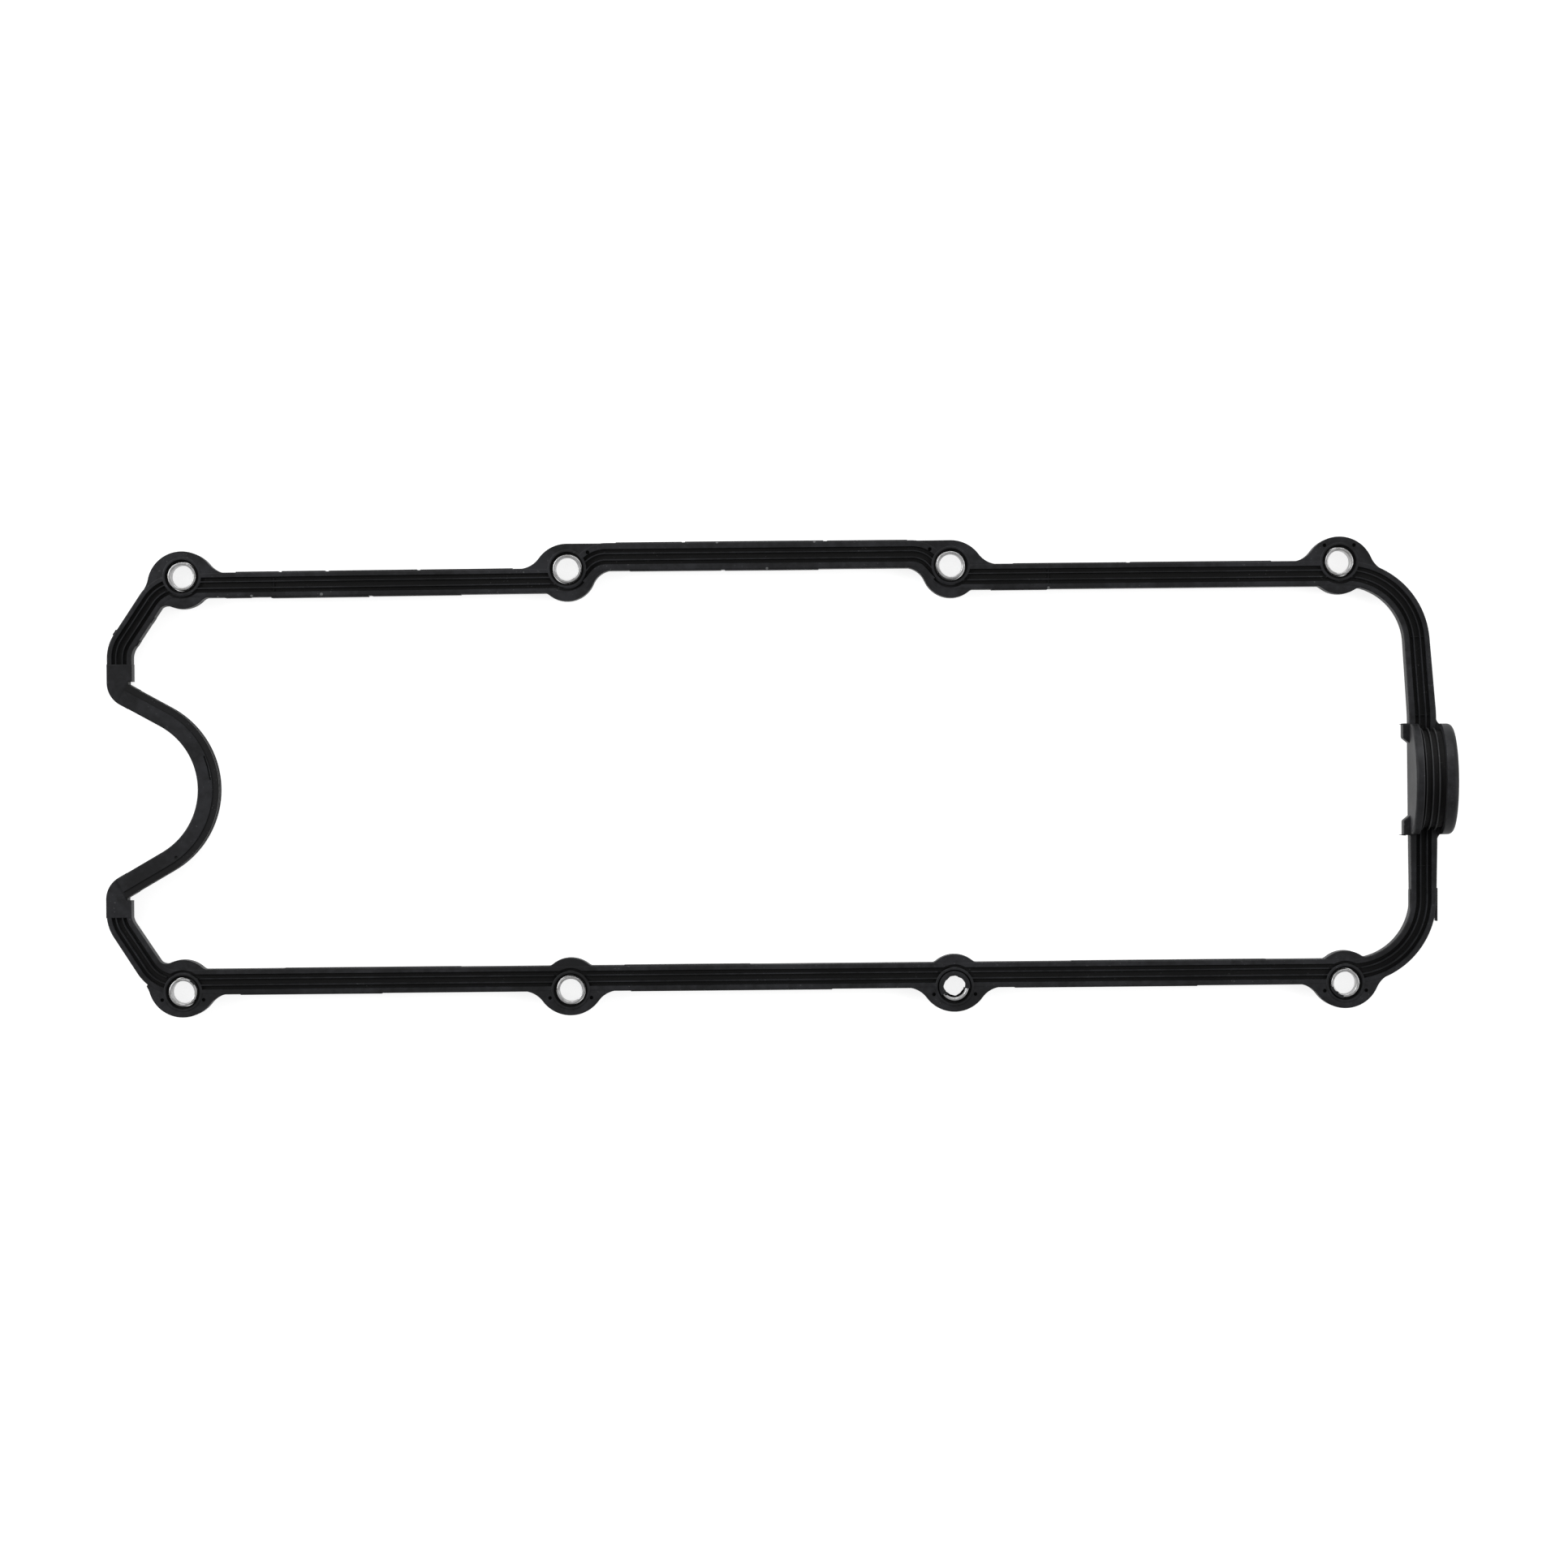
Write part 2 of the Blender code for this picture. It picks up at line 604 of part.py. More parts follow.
def make_pin_mark(name, centre, side, along, ring, angle):
    """Blind mark of a mould pin beside a bead."""
    spot = centre + ring * Vector((along * math.cos(angle), side * math.sin(angle)))
    steps = [(PIN_MARK_RADIUS, STRIP_HEIGHT - PIN_MARK_DEPTH), (PIN_MARK_RADIUS, STRIP_HEIGHT + OVERCUT)]
    return round_cutter(name, spot, steps, PIN_MARK_SIDES)


def plug_profile():
    """Half-moon plug as (x, radius) pairs from its inner face to its outer face."""
    inner = END_X - END_RUN_WIDTH / 2 - PLUG_INNER_STEP
    outer = inner + PLUG_THICKNESS
    edge = PLUG_EDGE_ROUND
    profile = [
        (inner, PLUG_RADIUS - EDGE_CHAMFER),
        (inner + EDGE_CHAMFER, PLUG_RADIUS),
        (inner + PLUG_INNER_FLANGE, PLUG_RADIUS),
        (inner + PLUG_INNER_FLANGE + GROOVE_WALL, PLUG_GROOVE_RADIUS),
    ]
    for crest in range(PLUG_CRESTS):
        x = END_X + CREST_PITCH * (crest - 0.5)
        profile += [
            (x - PLUG_CREST_FOOT / 2, PLUG_GROOVE_RADIUS),
            (x - PLUG_CREST_TOP / 2, PLUG_CREST_RADIUS),
            (x + PLUG_CREST_TOP / 2, PLUG_CREST_RADIUS),
            (x + PLUG_CREST_FOOT / 2, PLUG_GROOVE_RADIUS),
        ]
    profile += [
        (outer - PLUG_OUTER_FLANGE - GROOVE_WALL, PLUG_GROOVE_RADIUS),
        (outer - PLUG_OUTER_FLANGE, PLUG_RADIUS),
    ]
    for angle in (0, 45, 90):
        turn = math.radians(angle)
        profile.append((outer - edge + edge * math.sin(turn), PLUG_RADIUS - edge + edge * math.cos(turn)))
    return profile


def make_plug(name):
    """Half-moon plug, a half disc standing on the head side of the strip."""
    loops = []
    axis_z = STRIP_HEIGHT + PLUG_LIFT
    for x, radius in plug_profile():
        turns = [math.pi * index / PLUG_SIDES for index in range(PLUG_SIDES + 1)]
        loop = [(x, CAM_AXIS_Y + radius * math.cos(a), axis_z + radius * math.sin(a)) for a in turns]
        feet = [(x, CAM_AXIS_Y - radius, PLUG_FOOT), (x, CAM_AXIS_Y + radius, PLUG_FOOT)]
        loops.append(loop + feet)
    return loft(name, loops)


def make_ear(name, side):
    """Small lug at the inner base of the plug."""
    root = END_X - END_RUN_WIDTH / 2 + EAR_ROOT
    tip = END_X - END_RUN_WIDTH / 2 - EAR_REACH
    far = CAM_AXIS_Y + side * (PLUG_RADIUS + EAR_OVERHANG)
    near = far - side * EAR_LENGTH
    outline = rounded_outline([
        (Vector((root, near)), 0),
        (Vector((tip, near)), EAR_ROUND),
        (Vector((tip, far)), EAR_ROUND),
        (Vector((root, far)), 0),
    ])
    return prism(name, outline, PLUG_FOOT + EDGE_CHAMFER, STRIP_HEIGHT + EAR_RISE)


def shape_body(body, operation, tools):
    """Join tools to the body or cut them from it, and keep them as hidden guides."""
    group = bpy.data.collections.new(f"{operation.lower()}_{len(body.modifiers) + 1}")
    bpy.context.scene.collection.children.link(group)
    for tool in tools:
        bpy.context.scene.collection.objects.unlink(tool)
        group.objects.link(tool)
        tool.hide_render = True
        tool.display_type = "WIRE"
    step = body.modifiers.new(group.name, "BOOLEAN")
    step.operation = operation
    step.solver = "EXACT"
    step.operand_type = "COLLECTION"
    step.collection = group


def make_body():
    """The moulded rubber body, joined and cut in the order of the steps below."""
    stations = strip_route()
    body = make_blank_strip("gasket_body", stations)
    bolts = [(column, side) for side in (1, -1) for column in range(len(BOLT_COLUMNS))]
    tagged = [(f"{column}_{side}", column, side, bolt_centre(column, side)) for column, side in bolts]

    bosses = []
    for tag, column, side, centre in tagged:
        bosses.append(prism(f"boss_{tag}", boss_outline(column, side), BOSS_DROP, STRIP_HEIGHT - BOSS_DROP))
    shape_body(body, "UNION", bosses)

    grooves = []
    for index, groove in enumerate(head_grooves()):
        grooves.append(make_groove(f"head_groove_{index}", stations, groove, STRIP_HEIGHT, GROOVE_DEPTH))
    for index, groove in enumerate(cover_grooves()):
        grooves.append(make_groove(f"cover_groove_{index}", stations, groove, 0.0, -COVER_GROOVE_DEPTH))
    shape_body(body, "DIFFERENCE", grooves)

    upper, peak, lower = arch_corners()
    shape_body(body, "UNION", [
        make_foot("upper_foot", upper, peak, 1),
        make_foot("lower_foot", lower, peak, -1),
    ])
    raised = [make_arch("arch"), make_plug("plug"), make_ear("ear_left", 1), make_ear("ear_right", -1)]
    raised += [make_bead(f"bead_{tag}", centre) for tag, column, side, centre in tagged]
    shape_body(body, "UNION", raised)

    cuts = []
    for tag, column, side, centre in tagged:
        cuts.append(make_sleeve_hole(f"sleeve_hole_{tag}", centre))
        cuts.append(make_bypass(f"head_bypass_{tag}", centre, side,
                                STRIP_HEIGHT - BYPASS_DEPTH, STRIP_HEIGHT + OVERCUT))
        cuts.append(make_bypass(f"cover_bypass_{tag}", centre, side,
                                -OVERCUT, COVER_GROOVE_DEPTH))
    for column, side, along, ring, angle in PIN_MARKS:
        tag = f"pin_mark_{column}_{side}_{along}"
        cuts.append(make_pin_mark(tag, bolt_centre(column, side), side, along, ring, angle))
    shape_body(body, "DIFFERENCE", cuts)
    return body


def make_sleeve_mesh():
    """Short metal tube with broken edges, standing on its lower end."""
    bore, rim, edge = SLEEVE_BORE / 2, SLEEVE_DIAMETER / 2, SLEEVE_CHAMFER
    top = SLEEVE_HEIGHT
    sleeve = turned("sleeve_pattern", [
        (bore, edge), (bore + edge, 0.0), (rim - edge, 0.0), (rim, edge),
        (rim, top - edge), (rim - edge, top), (bore + edge, top), (bore, top - edge),
    ], SLEEVE_SIDES)
    mesh = sleeve.data
    bpy.data.objects.remove(sleeve)
    return mesh


def build():
    clear_scene()
    rubber = material("black_rubber", (0.022, 0.022, 0.025), 0.55, 0.0)
    zinc = material("plated_steel", (0.62, 0.62, 0.63), 0.35, 1.0)
    datum = bpy.data.objects.new("gasket_datum", None)
    bpy.context.scene.collection.objects.link(datum)

    body = make_body()
    body.data.materials.append(rubber)
    mesh = make_sleeve_mesh()
    mesh.materials.append(zinc)
    number = 0
    for side in (1, -1):
        for column in range(len(BOLT_COLUMNS)):
            number += 1
            sleeve = bpy.data.objects.new(f"compression_sleeve_{number}", mesh)
            bpy.context.scene.collection.objects.link(sleeve)
            centre = bolt_centre(column, side)
            sleeve.location = (centre.x, centre.y, (STRIP_HEIGHT - SLEEVE_HEIGHT) / 2)
    for item in list(bpy.data.objects):
        if item is not datum:
            item.parent = datum
    datum.location = (-(LEFT_EDGE + RIGHT_EDGE) / 2, -(FRONT_EDGE + BACK_EDGE) / 2, 0.0)


build()
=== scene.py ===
# Valve cover gasket, lying with its cylinder-head side up: looks, camera and light
import json
import math
import random

import bmesh
import bpy
from mathutils import Matrix, Vector

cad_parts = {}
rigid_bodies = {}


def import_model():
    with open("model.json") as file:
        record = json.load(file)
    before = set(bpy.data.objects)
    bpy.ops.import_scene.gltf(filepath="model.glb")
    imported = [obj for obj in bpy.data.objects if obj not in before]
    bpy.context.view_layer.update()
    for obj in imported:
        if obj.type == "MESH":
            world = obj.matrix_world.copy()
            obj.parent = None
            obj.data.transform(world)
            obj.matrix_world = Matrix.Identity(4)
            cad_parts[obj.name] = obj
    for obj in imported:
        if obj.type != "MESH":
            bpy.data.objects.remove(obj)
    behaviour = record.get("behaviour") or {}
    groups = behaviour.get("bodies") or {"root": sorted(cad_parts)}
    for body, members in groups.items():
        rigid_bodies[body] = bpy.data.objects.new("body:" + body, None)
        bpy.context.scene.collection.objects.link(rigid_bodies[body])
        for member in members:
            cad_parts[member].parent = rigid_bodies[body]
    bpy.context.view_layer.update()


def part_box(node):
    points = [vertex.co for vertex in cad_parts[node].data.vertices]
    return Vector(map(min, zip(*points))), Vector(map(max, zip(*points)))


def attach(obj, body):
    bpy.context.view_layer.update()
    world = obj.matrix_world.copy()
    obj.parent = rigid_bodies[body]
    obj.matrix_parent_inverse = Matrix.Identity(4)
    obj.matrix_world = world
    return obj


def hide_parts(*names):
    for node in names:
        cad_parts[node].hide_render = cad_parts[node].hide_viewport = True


for leftover in list(bpy.data.objects):
    bpy.data.objects.remove(leftover)
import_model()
scene = bpy.context.scene
up = Vector((0, 0, 1))
ahead = Vector((1, 0, 0))
random.seed(11)


# Everything is modelled in millimetres, X from the first bolt column and Y from midway
# between the bolt rows, and goes to its place in the frame at the end
def sleeveSpot(number):
    low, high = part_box(f"compression_sleeve_{number}")
    return (low + high) / 2


origin = Vector(((sleeveSpot(1).x + sleeveSpot(5).x) / 2,
                 (sleeveSpot(2).y + sleeveSpot(6).y) / 2, 0))
toWorld = Matrix.Translation(origin) @ Matrix.Scale(0.001, 4)
bolts = []
for number in range(1, 9):
    spot = (sleeveSpot(number) - origin) * 1000
    bolts.append({"number": number, "column": (number - 1) % 4, "side": 1 if number < 5 else -1,
                  "place": Vector((spot.x, spot.y, 0))})
columns = [(bolts[index]["place"].x + bolts[index + 4]["place"].x) / 2 for index in range(4)]
rowY = bolts[1]["place"].y
print("frame loaded, bolt columns at", [round(x, 1) for x in columns])


def finishPiece(bm, name):
    bmesh.ops.remove_doubles(bm, verts=bm.verts[:], dist=0.0005)
    bmesh.ops.recalc_face_normals(bm, faces=bm.faces[:])
    mesh = bpy.data.meshes.new(name)
    bm.to_mesh(mesh)
    bm.free()
    piece = bpy.data.objects.new(name, mesh)
    scene.collection.objects.link(piece)
    return piece


def vertsOf(edges):
    # In a fixed order, so that every run builds the same mesh
    return list(dict.fromkeys(vert for edge in edges for vert in edge.verts))


def pointsIn(items):
    return [item for item in items if isinstance(item, bmesh.types.BMVert)]


def ringAt(bm, place, left, spots):
    # Closed ring of edges standing across the route, from (across, height) spots
    corners = [bm.verts.new(place + left * across + up * height) for across, height in spots]
    return [bm.edges.new((corners[index - 1], corners[index])) for index in range(len(corners))]


def roundedRing(bm, place, left, width, low, high, radius, segments):
    # Upright rectangle across the route with rounded corners, as a ring of edges
    half = width / 2
    ringAt(bm, place, left, [(-half, low), (half, low), (half, high), (-half, high)])
    bmesh.ops.contextual_create(bm, geom=bm.edges[:])
    bmesh.ops.bevel(bm, geom=bm.verts[:], offset=radius, offset_type="OFFSET", segments=segments,
                    profile=0.5, affect="VERTICES", material=-1)
    bmesh.ops.delete(bm, geom=bm.faces[:], context="FACES_ONLY")
    return bm.edges[:]


def bendAt(before, here, after, radius):
    # Centre, first point and turn of the round that a corner gets
    arriving, leaving = (here - before).normalized(), (after - here).normalized()
    turn = -arriving.xy.angle_signed(leaving.xy)
    tangent = here - arriving * radius * math.tan(abs(turn) / 2)
    return tangent + up.cross(arriving) * math.copysign(radius, turn), tangent, turn


def openEdges(items):
    return [item for item in items
            if isinstance(item, bmesh.types.BMEdge) and len(item.link_faces) < 2]


def sweep(bm, ring, corners, runStep=8.0, bendStep=math.radians(3.5), landFrom=2.8):
    # Drags a ring along a route of (x, y, radius, width) corners and closes both ends. Only the
    # plain lands beside the grooves, farther out than landFrom, change in width
    points = [Vector((x, y, 0)) for x, y, radius, width in corners]
    place, width = points[0], corners[0][3]
    for index in range(1, len(points)):
        radius, nextWidth = corners[index][2:]
        bends = radius and index < len(points) - 1
        target = points[index]
        if bends:
            centre, target, turn = bendAt(*points[index - 1:index + 2], radius)
        left = up.cross((target - place).normalized())
        steps = max(1, math.ceil((target - place).length / runStep))
        for step in range(steps):
            ring = openEdges(bmesh.ops.extrude_edge_only(bm, edges=ring)["geom"])
            fresh = vertsOf(ring)
            bmesh.ops.translate(bm, verts=fresh, vec=(target - place) / steps)
            for vert in fresh:
                across = (vert.co - place).dot(left)
                if abs(across) > landFrom:
                    vert.co += left * math.copysign(1, across) * (nextWidth - width) / 2 / steps
        place, width = target, nextWidth
        if bends:
            turns = max(1, math.ceil(abs(turn) / bendStep))
            spun = bmesh.ops.spin(bm, geom=ring + vertsOf(ring), cent=centre, axis=up,
                                  dvec=(0, 0, 0), angle=turn, steps=turns, use_duplicate=False)
            ring = [item for item in spun["geom_last"] if isinstance(item, bmesh.types.BMEdge)]
            place = centre + Matrix.Rotation(turn, 3, up) @ (target - centre)
    bmesh.ops.holes_fill(bm, edges=bm.edges[:], sides=0)


def drawOutline(bm, start, moves, bendStep=math.radians(5)):
    # Pen drawing of lines ("to", point) and rounds ("round", centre, turn), closed and filled
    pen = bm.verts.new(start)
    for move in moves:
        if move[0] == "to":
            pen = bmesh.ops.extrude_vert_indiv(bm, verts=[pen])["verts"][0]
            pen.co = move[1]
        else:
            centre, turn = move[1:]
            steps = max(1, math.ceil(abs(turn) / bendStep))
            spun = bmesh.ops.spin(bm, geom=[pen], cent=centre, axis=up, dvec=(0, 0, 0), angle=turn,
                                  steps=steps, use_duplicate=False)
            pen = pointsIn(spun["geom_last"])[0]
    bmesh.ops.remove_doubles(bm, verts=bm.verts[:], dist=0.003)
    edges = bm.edges[:]
    ends = [vert for vert in bm.verts if len(vert.link_edges) == 1]
    if len(ends) == 2:
        edges.append(bm.edges.new(ends))
    return bmesh.ops.contextual_create(bm, geom=edges)["faces"][0]


def raiseFace(bm, face, low, high, rounding):
    # Makes a solid of a flat face between two heights, with rounded rims
    bmesh.ops.translate(bm, verts=face.verts[:], vec=up * low)
    grown = bmesh.ops.extrude_face_region(bm, geom=[face])["geom"]
    bmesh.ops.translate(bm, verts=pointsIn(grown), vec=up * (high - low))
    if rounding:
        rims = [edge for edge in bm.edges
                if abs(edge.verts[0].co.z - edge.verts[1].co.z) < 1e-6]
        bmesh.ops.bevel(bm, geom=rims, offset=rounding, offset_type="OFFSET", segments=3,
                        profile=0.5, affect="EDGES", material=-1, clamp_overlap=True)


def lathe(bm, place, profile, steps, tube=False):
    # Turns a (radius, height) profile once round an upright axis, as a tube or filled at its ends
    spots = [bm.verts.new(place + ahead * radius + up * level) for radius, level in profile]
    edges = [bm.edges.new(pair) for pair in zip(spots, spots[1:])]
    if tube:
        edges.append(bm.edges.new((spots[-1], spots[0])))
    bmesh.ops.spin(bm, geom=spots + edges, cent=place, axis=up, dvec=(0, 0, 0), angle=math.tau,
                   steps=steps, use_merge=True, use_duplicate=False)
    bmesh.ops.holes_fill(bm, edges=bm.edges[:], sides=0)


def combine(base, operation, tools):
    # Joins or cuts with one Boolean and keeps the plain result
    group = bpy.data.collections.new("tools")
    for tool in tools:
        scene.collection.objects.unlink(tool)
        group.objects.link(tool)
    cut = base.modifiers.new(operation, "BOOLEAN")
    cut.operation, cut.solver = operation, "EXACT"
    cut.operand_type, cut.collection = "COLLECTION", group
    scene.collection.children.link(group)
    shaped = base.evaluated_get(bpy.context.evaluated_depsgraph_get())
    mesh = bpy.data.meshes.new_from_object(shaped)
    bm = bmesh.new()
    bm.from_mesh(mesh)
    bmesh.ops.remove_doubles(bm, verts=bm.verts[:], dist=0.0006)
    bmesh.ops.dissolve_degenerate(bm, edges=bm.edges[:], dist=0.0003)
    bmesh.ops.triangulate(bm, faces=bm.faces[:], quad_method="BEAUTY", ngon_method="BEAUTY")
    bm.to_mesh(mesh)
    bm.free()
    base.modifiers.clear()
    base.data = mesh
    for tool in tools:
        bpy.data.objects.remove(tool, do_unlink=True)
    bpy.data.collections.remove(group)
    print(operation.lower(), len(tools), "pieces,", len(mesh.polygons), "faces")


# The sealing strip: a plain band first, and its grooves as cutters on the same route
strip = {
    "height": 6.8, "edgeRound": 0.45, "edgeSegments": 3, "runInset": 3.7, "leftDrop": 0.5,
    "jogOutset": 3.7, "jogStart": 2.2, "jogLength": 6.4, "jogRadius": 8.2, "jogFillet": 7.0,
    "leftWidth": 7.9, "jogWidth": 8.8, "rightWidth": 8.1, "endWidth": 8.6, "bottomWidth": 8.1,
    "legWidth": 7.9, "endOffset": 25.7, "leanTop": 3.0, "leanBottom": 0.4, "bowRadius": 40.0,
    "flare": 3.0, "cornerTop": 22.8, "cornerBottom": 23.0, "legOffset": 20.1, "legSkew": 0.4,
    "kneeTop": 42.8, "kneeBottom": 44.3, "kneeRadius": 10.0, "shoulderTop": 6.8,
    "shoulderBottom": 7.7, "shoulderRadius": 11.0,
}
grooves = {
    "width": 4.9, "depth": 1.0, "wall": 0.2, "crestPitch": 2.06, "crestTop": 0.3, "crestFoot": 0.65,
    "coverWidth": 4.4, "coverDepth": 0.6, "coverBead": 1.0, "overcut": 1.5, "overrun": 0.6,
    "bendStep": math.radians(3),
}
arch = {
    "camY": -2.4, "ribEnd": 40.3, "footEnd": 34.8, "footWidth": 8.1, "footBase": 0.03,
    "footRise": 0.05, "footRound": 0.3, "margin": 0.12, "overlap": 1.0, "cornerRadius": 8.0,
    "bend": 31.5, "lean": 0.9, "flanksMeet": 55.8, "radius": 26.4, "width": 7.8, "root": 1.2,
    "reach": 5.0, "notch": 1.2, "stepDepth": 0.3, "stepAt": 1.3, "stepTo": 6.0, "stepSlant": 0.1,
}
plug = {
    "radius": 17.6, "crestRadius": 16.3, "grooveRadius": 15.4, "thickness": 13.5,
    "innerFlange": 2.6, "outerFlange": 3.8, "crests": 3, "crestTop": 0.38, "crestFoot": 0.75,
    "crestDip": 0.06, "innerStep": 0.12, "edgeRound": 1.7, "innerRound": 0.9, "rimBevel": 0.15,
    "foot": 1.2, "lift": 0.06, "steps": 72, "earReach": 2.2, "earLength": 5.5, "earBase": 0.45,
    "earRise": 0.6, "earSoft": 0.35, "earRoot": 1.6, "earOver": 0.15, "earSlant": 0.9,
    "earRounds": (0.5, 0.8, 0.35), "cornerFillet": 2.6, "cornerTuck": 0.1, "cornerBack": 0.6,
    "cornerInset": 0.6, "cornerReach": 4.0, "cornerBase": 0.2, "cornerDrop": 0.25,
}
height = strip["height"]
runY, jogY = rowY - strip["runInset"], rowY + strip["jogOutset"]
endX = columns[3] + strip["endOffset"]
legX = {1: strip["legSkew"] - strip["legOffset"], -1: -strip["legSkew"] - strip["legOffset"]}
camY = arch["camY"]
wideEnd = plug["radius"] + strip["flare"]
footY = arch["footEnd"] + arch["overlap"]
bendFar = strip["jogStart"] + strip["jogLength"]
route = [
    (legX[1], camY + footY, 0, strip["legWidth"]),
    (legX[1], strip["kneeTop"], strip["kneeRadius"], strip["legWidth"]),
    (strip["legSkew"] - strip["shoulderTop"], runY - strip["leftDrop"], strip["shoulderRadius"],
     strip["leftWidth"]),
    (columns[1] + strip["jogStart"], runY, strip["jogRadius"], strip["leftWidth"]),
    (columns[1] + bendFar, jogY, strip["jogRadius"], strip["jogWidth"]),
    (columns[2] - bendFar, jogY, strip["jogRadius"], strip["jogWidth"]),
    (columns[2] - strip["jogStart"], runY, strip["jogRadius"], strip["rightWidth"]),
    (endX - strip["leanTop"], runY, strip["cornerTop"], strip["rightWidth"]),
    (endX, camY + wideEnd, strip["bowRadius"], strip["endWidth"]),
    (endX, camY - wideEnd, strip["bowRadius"], strip["endWidth"]),
    (endX - strip["leanBottom"], -runY, strip["cornerBottom"], strip["bottomWidth"]),
    (-strip["legSkew"] - strip["shoulderBottom"], -runY, strip["shoulderRadius"],
     strip["bottomWidth"]),
    (legX[-1], -strip["kneeBottom"], strip["kneeRadius"], strip["legWidth"]),
    (legX[-1], camY - footY, 0, strip["legWidth"]),
]
bm = bmesh.new()
start = Vector(route[0][:2] + (0,))
ring = roundedRing(bm, start, Vector((-1, 0, 0)), strip["legWidth"], 0, height,
                   strip["edgeRound"], strip["edgeSegments"])
sweep(bm, ring, route)
body = finishPiece(bm, "rubberBody")


def headGrooves():
    # Grooves as (left foot, left wall, right foot, right wall)
    near = (grooves["crestPitch"] - grooves["crestFoot"]) / 2
    far = (grooves["crestPitch"] + grooves["crestFoot"]) / 2
    slope, wall = (grooves["crestFoot"] - grooves["crestTop"]) / 2, grooves["wall"]
    land = grooves["width"] / 2 - wall
    return [(-land, wall, -far, slope), (-near, slope, near, slope), (far, slope, land, wall)]


def coverGrooves():
    wall = grooves["wall"]
    near, far = grooves["coverBead"] / 2 + wall, grooves["coverWidth"] / 2 - wall
    return [(-far, wall, -near, wall), (near, wall, far, wall)]


def lengthened(path, extra):
    # The same route, carried on past both of its ends
    longer = list(path)
    for end, beside in ((0, 1), (-1, -2)):
        tip, inside = Vector(path[end][:2]), Vector(path[beside][:2])
        tip += (tip - inside).normalized() * extra
        longer[end] = (tip.x, tip.y, *path[end][2:])
    return longer


def grooveSpots(groove, mouth, depth):
    left, leftWall, right, rightWall = groove
    stretch = 1 + grooves["overcut"] / abs(depth)
    beyond = mouth + math.copysign(grooves["overcut"], depth)
    return [(left, mouth - depth), (right, mouth - depth),
            (right + rightWall * stretch, beyond), (left - leftWall * stretch, beyond)]


def grooveCutter(name, spots, path):
    bm = bmesh.new()
    longer = lengthened(path, grooves["overrun"])
    first, second = (Vector(corner[:2] + (0,)) for corner in longer[:2])
    ring = ringAt(bm, first, up.cross((second - first).normalized()), spots)
    sweep(bm, ring, longer, bendStep=grooves["bendStep"])
    return finishPiece(bm, name)


# Bolt bosses, drawn with a pen in a frame where +Y points away from the middle of the part
boss = {
    "outerRadius": 11.0, "outerOffset": 3.0, "innerRadius": 9.1, "innerOffset": 1.2, "drop": 0.07,
    "outerFillet": 8.0, "innerFillet": 3.0, "tuck": 0.15, "edgeRound": 0.4, "beadRadius": 6.2,
    "beadBase": 0.03, "beadRise": 0.12, "beadRound": 0.3, "reliefRadius": 5.4, "reliefDepth": 1.1,
    "reliefRound": 0.2, "bypassGap": 0.12, "bypassWidth": 0.75, "bypassDepth": 0.75,
    "bypassHalf": math.radians(52), "bypassSteps": 26, "pinRadius": 0.6, "pinDepth": 0.9,
    "pinSteps": 20, "pinRing": 7.0, "pinWebRing": 8.4, "pinWebAngle": math.radians(38),
    "pinTopAngle": math.radians(48), "pinBottomAngle": math.radians(20), "steps": 64,
}


def shortTurn(first, last):
    turn = math.atan2(last.y, last.x) - math.atan2(first.y, first.x)
    return (turn + math.pi) % math.tau - math.pi


def lineFillet(rounding, edge, along, away, fillet):
    # Fillet from a straight strip edge to a boss: its centre, first and last point
    centre, radius = rounding
    depth = (centre - edge).dot(away)
    reach = math.sqrt((radius + fillet) ** 2 - (fillet - depth) ** 2)
    middle = centre - away * depth + along * reach + away * fillet
    return middle, middle - away * fillet, middle + (centre - middle).normalized() * fillet


def roundFillet(rounding, corner, radius, fillet, side):
    # The same where the strip bends round an end corner
    centre = rounding[0]
    gap = corner - centre
    near, far = rounding[1] + fillet, radius + side * fillet
    along = (near ** 2 - far ** 2 + gap.length_squared) / (2 * gap.length)
    unit = gap.normalized()
    middle = centre + unit * along + up.cross(unit) * math.sqrt(near ** 2 - along ** 2)
    return (middle, middle + (corner - middle).normalized() * side * fillet,
            middle + (centre - middle).normalized() * fillet)


def filletPair(outer, inner, run, along, width):
    away = up.cross(along) * math.copysign(1, along.x)
    edge = away * (width / 2 - boss["tuck"])
    return (lineFillet(outer, run + edge, along, away, boss["outerFillet"]),
            lineFillet(inner, run - edge, along, -away, boss["innerFillet"]))


def filletMoves(fillet, backwards=False):
    # Pen moves along a fillet, and the point where they end
    middle, first, last = fillet
    if backwards:
        first, last = last, first
    turn = shortTurn(first - middle, last - middle)
    return [("to", first), ("round", middle, turn)], last


def roundMove(rounding, here, target):
    # Pen move round the boss, always the left way
    near, far = here - rounding[0], target - rounding[0]
    return "round", rounding[0], (math.atan2(far.y, far.x) - math.atan2(near.y, near.x)) % math.tau


